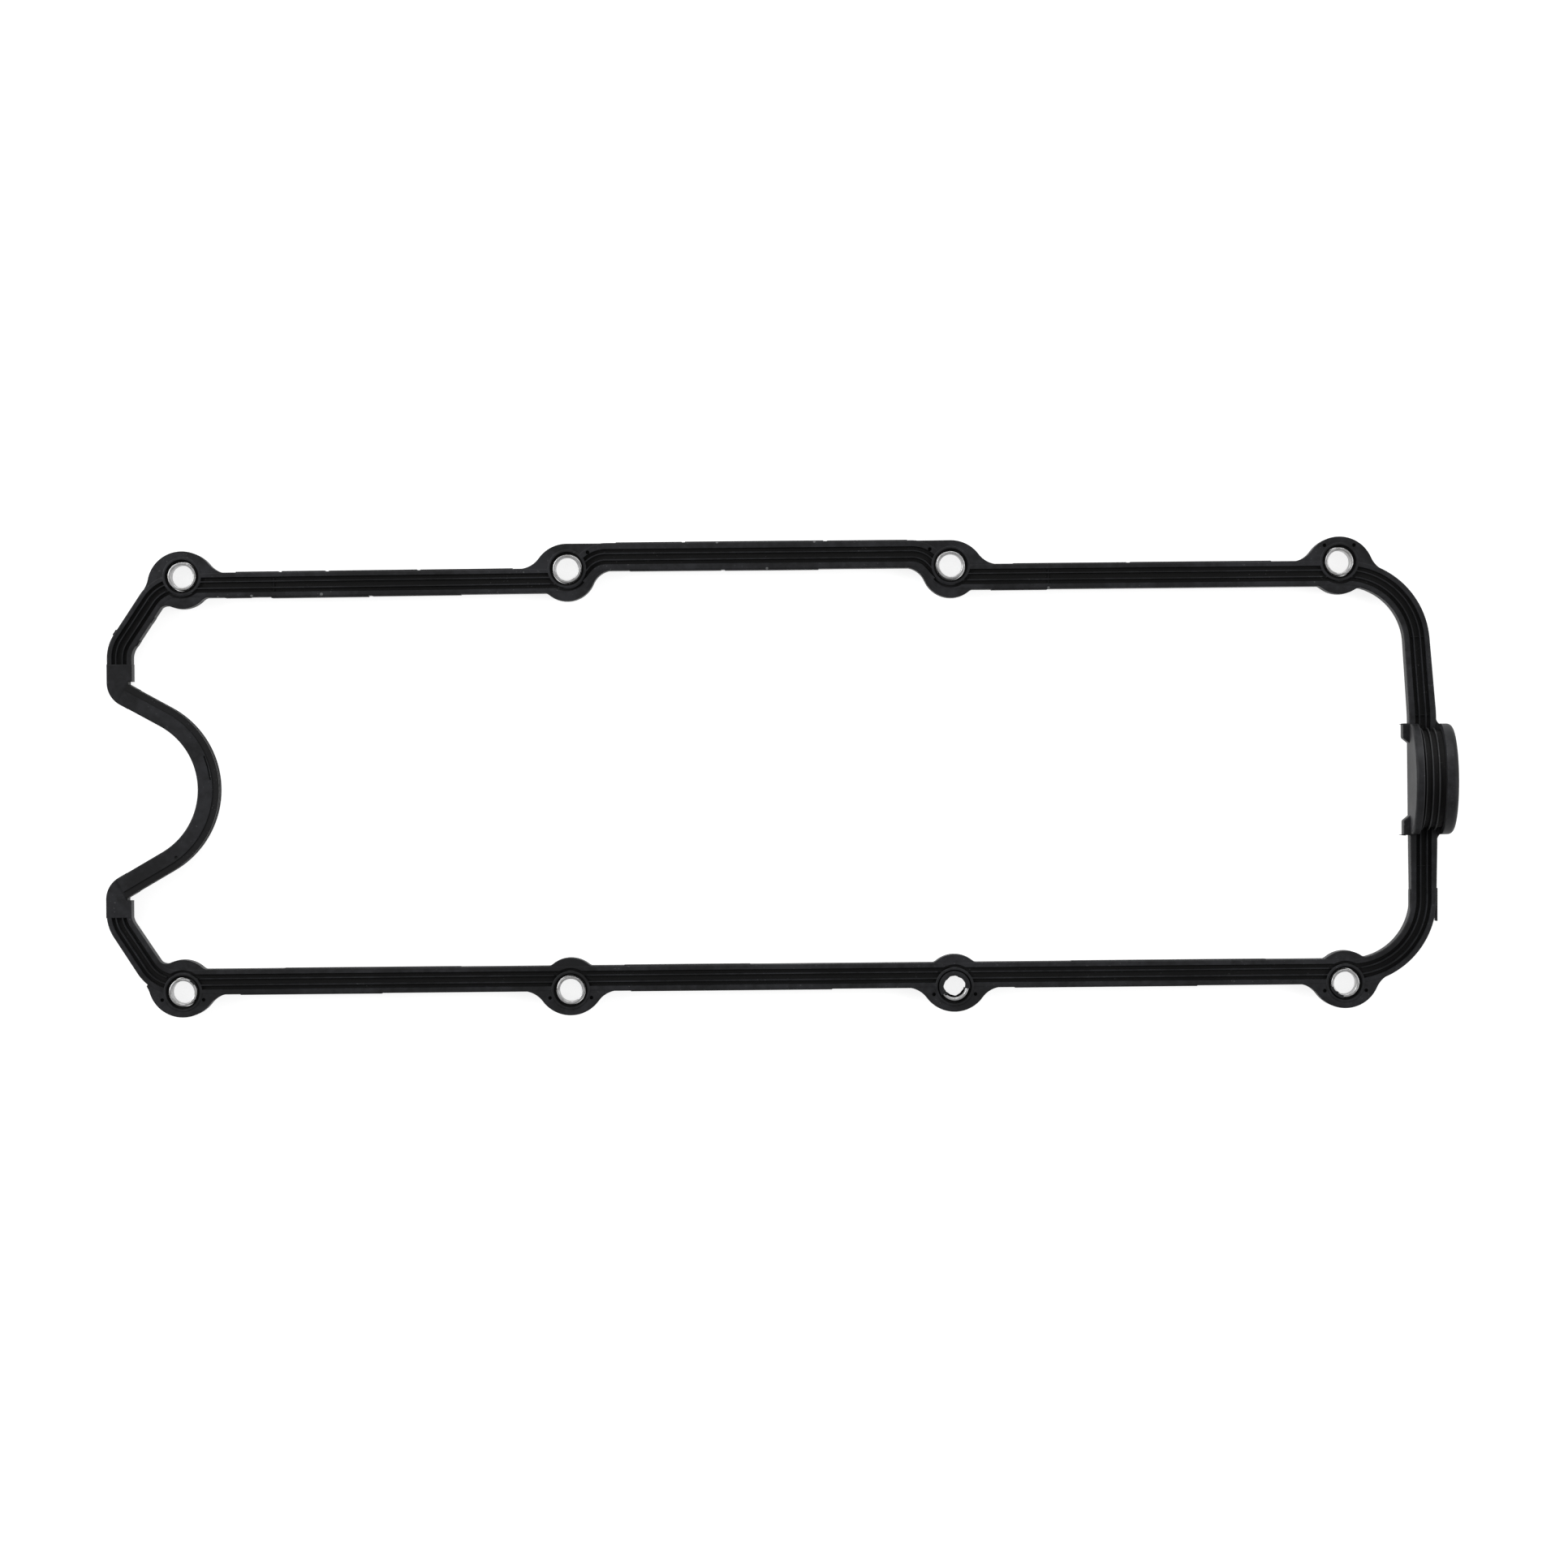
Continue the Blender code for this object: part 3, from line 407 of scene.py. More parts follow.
def bossPiece(bolt):
    column, side = bolt["column"], bolt["side"]
    end = "Top" if side > 0 else "Bottom"
    inset = rowY - abs(bolt["place"].y)
    outer = (Vector((0, -inset - boss["outerOffset"], 0)), boss["outerRadius"])
    inner = (Vector((0, -inset - boss["innerOffset"], 0)), boss["innerRadius"])
    drop = strip["leftDrop"] if column == 0 and side > 0 else 0
    run = Vector((0, -strip["runInset"] - drop, 0))
    width = strip[("bottom" if side < 0 else "left" if column < 2 else "right") + "Width"]
    before = filletPair(outer, inner, run, -ahead, width)
    after = filletPair(outer, inner, run, ahead, width)
    if column == 0:
        shoulder = Vector((-strip["shoulder" + end], run.y, 0))
        knee = Vector((-strip["legOffset"], strip["knee" + end] - rowY, 0))
        before = filletPair(outer, inner, shoulder, (knee - shoulder).normalized(), width)
    if column == 3:
        radius, far = strip["corner" + end], endX - bolt["place"].x
        here = Vector((far - strip["lean" + end], -strip["runInset"], 0))
        corner = bendAt(run, here, Vector((far, side * camY + wideEnd - rowY, 0)), radius)[0]
        edge = width / 2 - boss["tuck"]
        after = (roundFillet(outer, corner, radius + edge, boss["outerFillet"], 1),
                 roundFillet(inner, corner, radius - edge, boss["innerFillet"], -1))
    if side > 0 and column in (1, 2):
        # A flat web into the jogged run stands in for the outer fillet
        along = ahead if column == 1 else -ahead
        edge = strip["jogWidth"] / 2 - boss["tuck"]
        start = Vector((0, strip["jogOutset"] - edge, 0))
        fillet = lineFillet(inner, start, along, -up.cross(ahead), strip["jogFillet"])
        crown = outer[0] + Vector((0, outer[1], 0))
        corner = Vector((fillet[1].x, strip["jogOutset"] + edge, 0))
        if column == 1:
            after = (None, fillet)
        else:
            before = (None, fillet)

    if after[0]:
        moves, here = filletMoves(after[0])
    else:
        moves, here = [("to", corner), ("to", crown)], crown
    if before[0]:
        moves.append(roundMove(outer, here, before[0][2]))
        moves += filletMoves(before[0], True)[0]
    else:
        moves += [roundMove(outer, here, crown), ("to", corner)]
    lower, here = filletMoves(before[1])
    moves += lower + [roundMove(inner, here, after[1][2])] + filletMoves(after[1], True)[0]

    bm = bmesh.new()
    face = drawOutline(bm, moves[0][1], moves[1:])
    if side < 0:
        bmesh.ops.mirror(bm, geom=bm.verts[:] + bm.edges[:] + bm.faces[:], axis="Y", merge_dist=-1)
        bmesh.ops.delete(bm, geom=[face], context="FACES")
        face = bm.faces[:][0]
    bmesh.ops.translate(bm, verts=bm.verts[:], vec=(bolt["place"].x, side * rowY, 0))
    raiseFace(bm, face, boss["drop"], height - boss["drop"], boss["edgeRound"])
    return finishPiece(bm, f"boss{bolt['number']}")


combine(body, "UNION", [bossPiece(bolt) for bolt in bolts])
cuts = [grooveSpots(groove, height, grooves["depth"]) for groove in headGrooves()]
cuts += [grooveSpots(groove, 0, -grooves["coverDepth"]) for groove in coverGrooves()]
cutters = [grooveCutter("stripGroove", spots, route) for spots in cuts]
combine(body, "DIFFERENCE", cutters)


# Feet, where the strip turns on its side, and the arch that folds inwards between them
def cornerMoves(corners):
    # Pen moves through (point, radius) corners, of which the first and the last are sharp
    moves = []
    for index, (point, radius) in enumerate(corners[1:], 1):
        if radius:
            before, after = corners[index - 1][0], corners[index + 1][0]
            centre, tangent, turn = bendAt(before, point, after, radius)
            moves += [("to", tangent), ("round", centre, turn)]
        else:
            moves.append(("to", point))
    return moves


peak = Vector((arch["flanksMeet"] - strip["legOffset"], camY + arch["lean"], 0))
bends = {side: Vector((legX[side], camY + side * arch["bend"], 0)) for side in (1, -1)}


def footPiece(side):
    bend = bends[side]
    flank = (peak - bend).normalized()
    away = up.cross(flank) * side * (height / 2 + arch["margin"])
    outerX, innerX = bend.x - arch["footWidth"] / 2, bend.x + arch["footWidth"] / 2
    ribY, notchY = camY + side * arch["ribEnd"], camY + side * arch["footEnd"]

    def flankAt(point, x):
        return Vector((x, point.y + flank.y * (x - point.x) / flank.x, 0))

    end = bend + flank * arch["reach"]
    notchX = innerX - arch["notch"]
    corners = [
        (Vector((outerX, ribY, 0)), 0), (flankAt(bend - away, outerX), arch["cornerRadius"]),
        (end - away, 0), (end + away, 0), (flankAt(bend + away, notchX), 0),
        (Vector((notchX, notchY, 0)), 0), (Vector((innerX, notchY, 0)), 0),
        (Vector((innerX, ribY, 0)), 0)]
    bm = bmesh.new()
    face = drawOutline(bm, corners[0][0], cornerMoves(corners))
    raiseFace(bm, face, arch["footBase"], height + arch["footRise"], arch["footRound"])
    return finishPiece(bm, "foot")


archStart, archEnd = (bends[side] + (peak - bends[side]).normalized() * arch["root"]
                      for side in (1, -1))
archRoute = [(archStart.x, archStart.y, 0, arch["width"]),
             (peak.x, peak.y, arch["radius"], arch["width"]),
             (archEnd.x, archEnd.y, 0, arch["width"])]
archLeft = up.cross((peak - archStart).normalized())


def onItsSide(spots):
    # Strip spots turned so that its cylinder-head side faces the hollow of the arch
    return [(height / 2 - level, across + arch["width"] / 2) for across, level in spots]


bm = bmesh.new()
ring = roundedRing(bm, archStart, archLeft, height, 0, arch["width"], strip["edgeRound"],
                   strip["edgeSegments"])
sweep(bm, ring, archRoute, bendStep=grooves["bendStep"])
archPiece = finishPiece(bm, "arch")
combine(archPiece, "DIFFERENCE",
        [grooveCutter("archGroove", onItsSide(spots), archRoute) for spots in cuts])

# A mould step runs lengthwise on the upper side of the arch
stepTop = arch["width"] - arch["stepDepth"]
stepClear = stepTop + grooves["overcut"]
stepSpots = [(arch["stepAt"], stepTop), (arch["stepTo"], stepTop), (arch["stepTo"], stepClear),
             (arch["stepAt"] - arch["stepSlant"], stepClear)]
combine(archPiece, "DIFFERENCE", [grooveCutter("archStep", stepSpots, archRoute)])


# Half-moon plug: a stepped profile turned half round, standing on the strip at the far end
stripInner, stripOuter = endX - strip["endWidth"] / 2, endX + strip["endWidth"] / 2
earTip = stripInner - plug["earReach"]


def plugPiece():
    inner = stripInner - plug["innerStep"]
    outer = inner + plug["thickness"]
    shelf = outer - plug["outerFlange"]
    axis = Vector((0, camY, height + plug["lift"]))
    radius, low, high = plug["radius"], plug["grooveRadius"], plug["crestRadius"]
    wall, small, big = grooves["wall"], plug["innerRound"], plug["edgeRound"]
    top, foot, soft = plug["crestTop"] / 2, plug["crestFoot"] / 2, plug["rimBevel"]
    shoulder = high - plug["crestDip"]
    profile = [(inner, 0)]
    profile += [(inner + small - small * math.cos(turn), radius - small + small * math.sin(turn))
                for turn in (0, math.pi / 6, math.pi / 3, math.pi / 2)]
    profile += [(inner + plug["innerFlange"], radius), (inner + plug["innerFlange"] + wall, low)]
    for crest in range(plug["crests"]):
        middle = endX + grooves["crestPitch"] * (crest - 0.5)
        profile += [(middle - foot, low), (middle - top, shoulder), (middle - top / 2, high),
                    (middle + top / 2, high), (middle + top, shoulder), (middle + foot, low)]
    profile += [(shelf - wall, low), (shelf, radius - soft), (shelf + soft, radius)]
    profile += [(outer - big + big * math.sin(turn), radius - big + big * math.cos(turn))
                for turn in (math.pi * step / 16 for step in range(9))]
    profile.append((outer, 0))
    bm = bmesh.new()
    spots = [bm.verts.new(axis + Vector((x, distance, 0))) for x, distance in profile]
    rim = [bm.edges.new((spots[index - 1], spots[index])) for index in range(len(spots))]
    face = bmesh.ops.contextual_create(bm, geom=rim)["faces"][0]
    bmesh.ops.spin(bm, geom=[face], cent=axis, axis=ahead, dvec=(0, 0, 0), angle=math.pi,
                   steps=plug["steps"], use_duplicate=False)
    bmesh.ops.remove_doubles(bm, verts=bm.verts[:], dist=0.001)
    bases = [face for face in bm.faces
             if all(abs(vert.co.z - axis.z) < 1e-4 for vert in face.verts)]
    grown = bmesh.ops.extrude_face_region(bm, geom=bases)["geom"]
    bmesh.ops.translate(bm, verts=pointsIn(grown), vec=up * (plug["foot"] - axis.z))
    bmesh.ops.delete(bm, geom=[face for face in bases if face.is_valid], context="FACES")
    return finishPiece(bm, "plug")


def earPiece(side):
    root = stripInner + plug["earRoot"]
    far = camY + side * (plug["radius"] + plug["earOver"])
    near = far - side * plug["earLength"]
    slant = side * plug["earSlant"]
    firstRound, slantRound, tipRound = plug["earRounds"]
    corners = [(Vector((root, near - slant, 0)), 0),
               (Vector((root - plug["earRoot"], near - slant, 0)), firstRound),
               (Vector((earTip, near + slant, 0)), slantRound),
               (Vector((earTip, far, 0)), tipRound), (Vector((root, far, 0)), 0)]
    bm = bmesh.new()
    face = drawOutline(bm, corners[0][0], cornerMoves(corners))
    raiseFace(bm, face, plug["foot"] + plug["earBase"], height + plug["earRise"], plug["earSoft"])
    return finishPiece(bm, "ear")


def plugFillet(side):
    # Soft corner where the outer edge of the strip runs into the outer flange of the plug
    edge, fillet = stripOuter - plug["cornerTuck"], plug["cornerFillet"]
    end = camY + side * (plug["radius"] - plug["cornerInset"])
    middle = Vector((edge + fillet, end + side * fillet, 0))
    back, deep = edge - plug["cornerBack"], end - side * plug["cornerReach"]
    bm = bmesh.new()
    face = drawOutline(bm, Vector((back, deep, 0)), [
        ("to", Vector((back, middle.y, 0))), ("to", Vector((edge, middle.y, 0))),
        ("round", middle, side * math.pi / 2), ("to", Vector((middle.x, deep, 0)))])
    raiseFace(bm, face, plug["foot"] + plug["cornerBase"], height - plug["cornerDrop"], 0)
    return finishPiece(bm, "plugFillet")


combine(body, "UNION", [footPiece(1), footPiece(-1)])
combine(body, "UNION", [archPiece, plugPiece(), earPiece(1), earPiece(-1), plugFillet(1),
                        plugFillet(-1)])


# Bead, relief grooves, hole and bypass grooves at each sleeve
def disc(bm, place, radius, segments):
    bmesh.ops.create_circle(bm, cap_ends=True, radius=radius, segments=segments,
                            matrix=Matrix.Translation(place))
    return bm.faces[:][-1]


def beadPiece(bolt):
    bm = bmesh.new()
    face = disc(bm, bolt["place"], boss["beadRadius"], boss["steps"])
    raiseFace(bm, face, boss["beadBase"], height + boss["beadRise"], boss["beadRound"])
    return finishPiece(bm, "bead")


def holeCutter(bolt):
    wide, deep, soft = boss["reliefRadius"], boss["reliefDepth"], boss["reliefRound"]
    tight = sleeve["diameter"] / 2 + sleeve["clearance"]
    low = [(wide, -grooves["overcut"]), (wide, deep - soft), (wide - soft, deep), (tight, deep)]
    high = [(radius, height - level) for radius, level in reversed(low)]
    bm = bmesh.new()
    lathe(bm, bolt["place"], low + high, boss["steps"])
    return finishPiece(bm, "hole")


def bypassCutter(bolt, low, high):
    near = boss["beadRadius"] + boss["bypassGap"]
    far = near + boss["bypassWidth"]
    inwards = Vector((0, -bolt["side"], 0))
    first = Matrix.Rotation(-boss["bypassHalf"], 3, up) @ inwards
    bm = bmesh.new()
    ring = ringAt(bm, bolt["place"], first, [(near, low), (far, low), (far, high), (near, high)])
    bmesh.ops.spin(bm, geom=vertsOf(ring) + ring, cent=bolt["place"], axis=up, dvec=(0, 0, 0),
                   angle=boss["bypassHalf"] * 2, steps=boss["bypassSteps"], use_duplicate=False)
    bmesh.ops.holes_fill(bm, edges=bm.edges[:], sides=0)
    return finishPiece(bm, "bypass")


def pinMark(bolt, along, reach, angle):
    way = Vector((along * math.cos(angle), bolt["side"] * math.sin(angle), 0))
    bm = bmesh.new()
    face = disc(bm, bolt["place"] + way * reach, boss["pinRadius"], boss["pinSteps"])
    raiseFace(bm, face, height - boss["pinDepth"], height + grooves["overcut"], 0)
    return finishPiece(bm, "pin")


sleeve = {
    "bore": 7.2, "diameter": 9.0, "height": 6.2, "edge": 0.25, "clearance": 0.2, "steps": 96,
}
combine(body, "UNION", [beadPiece(bolt) for bolt in bolts])
cutters = [holeCutter(bolt) for bolt in bolts]
for bolt in bolts:
    cutters.append(bypassCutter(bolt, height - boss["bypassDepth"], height + grooves["overcut"]))
    cutters.append(bypassCutter(bolt, -grooves["overcut"], grooves["coverDepth"]))
cutters += [pinMark(bolts[1], 1, boss["pinWebRing"], boss["pinWebAngle"]),
            pinMark(bolts[2], -1, boss["pinWebRing"], boss["pinWebAngle"])]
for along in (-1, 1):
    cutters.append(pinMark(bolts[3], along, boss["pinRing"], boss["pinTopAngle"]))
    cutters += [pinMark(bolt, along, boss["pinRing"], boss["pinBottomAngle"]) for bolt in bolts[4:]]


def scratchCutter(first, last, width, depth):
    # Thin slit in the upper side of the arch between two points
    first, last = Vector((*first, 0)), Vector((*last, 0))
    along = last - first
    shape = (Matrix.Translation((first + last) / 2 + up * arch["width"])
             @ Matrix.Rotation(math.atan2(along.y, along.x), 4, "Z")
             @ Matrix.Diagonal((along.length, width, depth * 2, 1)))
    bm = bmesh.new()
    bmesh.ops.create_cube(bm, size=1.0, matrix=shape)
    return finishPiece(bm, "scratch")


def pitCutter(place, radius):
    bm = bmesh.new()
    bmesh.ops.create_icosphere(bm, subdivisions=3, radius=radius,
                               matrix=Matrix.Translation(place))
    return finishPiece(bm, "pit")


# Damage at the left end: slits as (from, to, width, depth), and pits whose balls stand a little
# above the face that they dent
pitLift = 0.15
slits = [((7.1, 8.6), (8.3, 4.8), 0.42, 0.8), ((8.2, 5.0), (9.1, 0.9), 0.36, 0.7),
         ((9.6, 6.4), (10.1, 2.6), 0.22, 0.3)]
pits = [((-2.0, -23.6, arch["width"] + pitLift), 0.55), ((-17.9, -36.4, height + pitLift), 0.5)]
cutters += [scratchCutter(*slit) for slit in slits] + [pitCutter(*pit) for pit in pits]
combine(body, "DIFFERENCE", cutters)


# Mould flash: slivers left along the parting line, broken off in short lengths. Runs are
# (from, to, width), and slivers are (run, side, lengths), each length as (near, far, reach)
sliver = {"base": 1.4, "baseSpread": 0.8, "topGap": 0.25, "topSpread": 0.3, "round": 0.07}
tick = {"length": 4.2, "width": 0.2, "tall": 0.5, "lift": 0.16}
runs = {
    "topLeft": ((-6.4, runY - strip["leftDrop"]), (125.0, runY), strip["leftWidth"]),
    "topMiddle": ((131.4, jogY), (236.2, jogY), strip["jogWidth"]),
    "topRight": ((242.6, runY), (391.3, runY), strip["rightWidth"]),
    "end": ((endX, camY - wideEnd), (endX - strip["leanBottom"], -runY),
            (strip["endWidth"] + strip["bottomWidth"]) / 2),
    "bottom": ((-8.1, -runY), (391.3, -runY), strip["bottomWidth"]),
    "leg": ((legX[1], strip["kneeTop"]),
            (strip["legSkew"] - strip["shoulderTop"], runY - strip["leftDrop"]), strip["legWidth"]),
}
slivers = [
    ("topLeft", 1, [(24.0, 37.6, 0.22), (38.6, 52.4, 0.26), (53.6, 81.6, 0.22),
                    (82.6, 112.0, 0.18)]),
    ("topLeft", -1, [(20.5, 28.6, 0.2), (35.2, 66.0, 0.36), (67.2, 95.4, 0.2)]),
    ("topMiddle", 1, [(7.0, 28.0, 0.16), (29.0, 73.0, 0.22), (74.2, 99.6, 0.16)]),
    ("topMiddle", -1, [(11.4, 40.4, 0.2), (41.6, 71.4, 0.26)]),
    ("topRight", -1, [(15.0, 32.8, 0.24)]),
    ("topRight", 1, [(22.0, 58.0, 0.14), (59.2, 104.0, 0.2)]),
    ("end", 1, [(14.0, 24.5, 0.2)]), ("end", -1, [(14.5, 23.0, 0.22)]),
    ("bottom", -1, [(26.0, 71.0, 0.18)]), ("bottom", 1, [(40.0, 96.0, 0.16)]),
    ("bottom", -1, [(150.0, 214.0, 0.2)]), ("bottom", 1, [(148.0, 188.0, 0.15)]),
    ("bottom", -1, [(272.0, 330.0, 0.18)]), ("bottom", 1, [(290.0, 352.0, 0.15)]),
    ("leg", 1, [(2.6, 4.6, 0.3)]), ("leg", -1, [(3.6, 5.8, 0.3), (12.5, 14.5, 0.2)]),
]


def sliverPiece(name, side, near, far, reach):
    start, stop, width = runs[name]
    first, last = Vector((*start, 0)), Vector((*stop, 0))
    along = (last - first).normalized()
    middle = first + along * (near + far) / 2 + up.cross(along) * side * width / 2
    low = sliver["base"] + random.uniform(0, sliver["baseSpread"])
    high = height - sliver["topGap"] - random.uniform(0, sliver["topSpread"])
    shape = (Matrix.Translation(middle + up * (low + high) / 2)
             @ Matrix.Rotation(math.atan2(along.y, along.x), 4, "Z")
             @ Matrix.Diagonal((far - near, reach * 2, high - low, 1)))
    bm = bmesh.new()
    bmesh.ops.create_cube(bm, size=1.0, matrix=shape)
    bmesh.ops.bevel(bm, geom=bm.edges[:], offset=sliver["round"], offset_type="OFFSET", segments=2,
                    profile=0.5, affect="EDGES", material=-1)
    return finishPiece(bm, "sliver")


def tickPiece(x, y, alongY):
    # Thin ridge that a vent leaves across the grooves
    sides = (tick["width"], tick["length"]) if alongY else (tick["length"], tick["width"])
    place = Vector((x, y, height - grooves["depth"] + tick["lift"]))
    bm = bmesh.new()
    bmesh.ops.create_cube(bm, size=1.0, matrix=Matrix.Translation(place)
                          @ Matrix.Diagonal((*sides, tick["tall"], 1)))
    return finishPiece(bm, "tick")


def whiskerPiece(place, length, width, tip=0.04):
    turned = Matrix.Rotation(-math.pi / 2, 4, "Y")
    bm = bmesh.new()
    bmesh.ops.create_cone(bm, cap_ends=True, segments=8, radius1=width, radius2=tip, depth=length,
                          matrix=Matrix.Translation(place) @ turned)
    return finishPiece(bm, "whisker")


flash = [sliverPiece(name, side, *length) for name, side, lengths in slivers for length in lengths]
flash += [tickPiece(29.6, runY - 0.4, True), tickPiece(275.8, runY, True),
          tickPiece(endX - 1.4, 42.9, False), tickPiece(endX - 0.25, 18.0, False),
          tickPiece(endX, -29.9, False)]
flash += [whiskerPiece((earTip - 0.35, camY + plug["radius"] - 0.1, height + 0.35), 1.8, 0.22),
          whiskerPiece((earTip - 0.45, camY - plug["radius"] - 0.05, height + 0.1), 2.2, 0.26)]
combine(body, "UNION", flash)


# Rubber that crept over the rims of three sleeves, as films between two angles and as lumps
creep = {
    "outer": 4.95, "thickness": 0.16, "gap": 0.01, "angleStep": 4, "edgeRound": 0.05,
    "lumpLift": 0.08, "lumpSpread": 0.12,
}
rimTop = (height + sleeve["height"]) / 2


def sharpEdges(bm, least=1.0):
    return [edge for edge in bm.edges if edge.calc_face_angle(0) > least]


def filmPiece(bolt, first, last, inner, wobble, below=False):
    outer, thickness = creep["outer"], creep["thickness"]
    level = rimTop + creep["gap"]
    if below:
        level = height - level - thickness
    start = Matrix.Rotation(math.radians(first), 3, up) @ ahead
    steps = max(8, int((last - first) / creep["angleStep"]))
    bm = bmesh.new()
    ring = ringAt(bm, bolt["place"], start, [
        (inner, level), (outer, level), (outer, level + thickness), (inner, level + thickness)])
    bmesh.ops.spin(bm, geom=vertsOf(ring) + ring, cent=bolt["place"], axis=up, dvec=(0, 0, 0),
                   angle=math.radians(last - first), steps=steps, use_duplicate=False)
    bmesh.ops.holes_fill(bm, edges=bm.edges[:], sides=0)
    phase = random.uniform(0, 6)
    for vert in bm.verts:
        spoke = (vert.co - bolt["place"]).xy
        if spoke.length < (inner + outer) / 2:
            turn = math.atan2(spoke.y, spoke.x)
            wave = math.sin(turn * 5 + phase) + 0.6 * math.sin(turn * 11 + 2 * phase)
            vert.co.xy += spoke.normalized() * wobble * wave
    bmesh.ops.bevel(bm, geom=sharpEdges(bm), offset=creep["edgeRound"], offset_type="OFFSET",
                    segments=2, profile=0.5, affect="EDGES", material=-1)
    return finishPiece(bm, "film")


def lumpPiece(bolt, x, y, size):
    place = bolt["place"] + Vector((x, y, rimTop + creep["lumpLift"]))
    spread = creep["lumpSpread"]
    bm = bmesh.new()
    bmesh.ops.create_icosphere(bm, subdivisions=3, radius=1.0,
                               matrix=Matrix.Translation(place) @ Matrix.Diagonal((*size, 1)))
    for vert in bm.verts:
        vert.co += (vert.co - place) * random.uniform(-spread, spread)
    return finishPiece(bm, "lump")


# Sleeves: short turned tubes with rounded rims
def sleevePiece(bolt):
    bore, rim, tall = sleeve["bore"] / 2, sleeve["diameter"] / 2, sleeve["height"]
    bm = bmesh.new()
    lathe(bm, bolt["place"] + up * (height - tall) / 2,
          [(bore, 0), (rim, 0), (rim, tall), (bore, tall)], sleeve["steps"], tube=True)
    bmesh.ops.bevel(bm, geom=sharpEdges(bm), offset=sleeve["edge"], offset_type="OFFSET",
                    segments=3, profile=0.5, affect="EDGES", material=-1)
    return finishPiece(bm, f"sleeve{bolt['number']}")


sleeves = [sleevePiece(bolt) for bolt in bolts]
fifth, seventh, eighth = bolts[4], bolts[6], bolts[7]
films = [
    filmPiece(seventh, -8, 214, 3.38, 0.09),
    filmPiece(eighth, 196, 262, 3.95, 0.06),
    filmPiece(fifth, 34, 58, 4.15, 0.04),
    filmPiece(seventh, 212, 352, 3.0, 0.09, below=True),
    lumpPiece(seventh, -2.75, -2.3, (0.5, 0.4, 0.25)),
    lumpPiece(seventh, -3.25, -1.4, (0.4, 0.5, 0.25)),
    lumpPiece(eighth, -2.7, -3.0, (0.55, 0.35, 0.22)),
]


def settle(piece, node, sharp=math.radians(32)):
    # Moves the mesh into the frame, shades it and lets it stand in for its CAD node
    mesh = piece.data
    mesh.transform(toWorld)
    mesh.polygons.foreach_set("use_smooth", [True] * len(mesh.polygons))
    mesh.set_sharp_from_angle(angle=sharp)
    even = piece.modifiers.new("evenShading", "WEIGHTED_NORMAL")
    even.keep_sharp = True
    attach(piece, "root")
    if node:
        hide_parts(node)
    print(piece.name, len(mesh.vertices), "points")


settle(body, "gasket_body")
roundSharp = math.radians(50)
for index, film in enumerate(films):
    film.name = f"rubberFilm{index + 1}"
    settle(film, None, roundSharp)
for bolt, piece in zip(bolts, sleeves):
    settle(piece, f"compression_sleeve_{bolt['number']}", roundSharp)


# Shading: sockets wrapped so that their maths reads as plain formulas
def feed(tree, socket, value):
    # Links a wrapped socket, or sets a plain value
    if isinstance(value, Value):
        tree.links.new(value.socket, socket)
    else:
        socket.default_value = value


class Value:
    def __init__(self, tree, socket):
        self.tree, self.socket = tree, socket

    def maths(self, operation, other, swap=False):
        node = self.tree.nodes.new("ShaderNodeMath")
        node.operation = operation
        for index, item in enumerate((other, self) if swap else (self, other)):
            feed(self.tree, node.inputs[index], item)
        return Value(self.tree, node.outputs[0])

    def __add__(self, other):
        return self.maths("ADD", other)

    def __sub__(self, other):
        return self.maths("SUBTRACT", other)

    def __mul__(self, other):
        return self.maths("MULTIPLY", other)

    def __rsub__(self, other):
        return self.maths("SUBTRACT", other, True)

    __radd__ = __add__

    def step(self, low, high):
        # Smooth rise from 0 at the low value to 1 at the high one
        node = self.tree.nodes.new("ShaderNodeMapRange")
        node.interpolation_type = "SMOOTHSTEP"
        node.inputs["From Min"].default_value, node.inputs["From Max"].default_value = low, high
        self.tree.links.new(self.socket, node.inputs["Value"])
        return Value(self.tree, node.outputs["Result"])


class Surface:
    def __init__(self, slot, settings):
        self.material = bpy.data.materials.new(slot)
        self.material.use_nodes = True
        self.tree = self.material.node_tree
        self.shader = self.tree.nodes["Principled BSDF"]
        for name, value in settings.items():
            self.shader.inputs[name].default_value = value

    def node(self, kind, output, settings=None, *wires, **links):
        # Any other node: its own settings, its sockets in order or by name and the output to read
        node = self.tree.nodes.new(kind)
        for name, value in (settings or {}).items():
            setattr(node, name, value)
        for key, value in [*enumerate(wires), *links.items()]:
            feed(self.tree, node.inputs[key], value)
        return Value(self.tree, node.outputs[output])

    def noise(self, place, scale, detail=3.0, roughness=0.5):
        return self.node("ShaderNodeTexNoise", "Fac", Vector=place, Scale=scale, Detail=detail,
                         Roughness=roughness)

    def blend(self, factor, first, second):
        # Sockets 6, 7 and 2 are the colour ones of this node
        node = self.tree.nodes.new("ShaderNodeMix")
        node.data_type = "RGBA"
        for key, value in (("Factor", factor), (6, first), (7, second)):
            feed(self.tree, node.inputs[key], value)
        return Value(self.tree, node.outputs[2])

    def set(self, name, value):
        self.tree.links.new(value.socket, self.shader.inputs[name])

    def bump(self, tall, distance, under=None):
        links = {"Height": tall, "Distance": distance, "Strength": 1.0}
        if under:
            links["Normal"] = under
        return self.node("ShaderNodeBump", "Normal", None, **links)

    def cover(self, piece):
        piece.data.materials.clear()
        piece.data.materials.append(self.material)


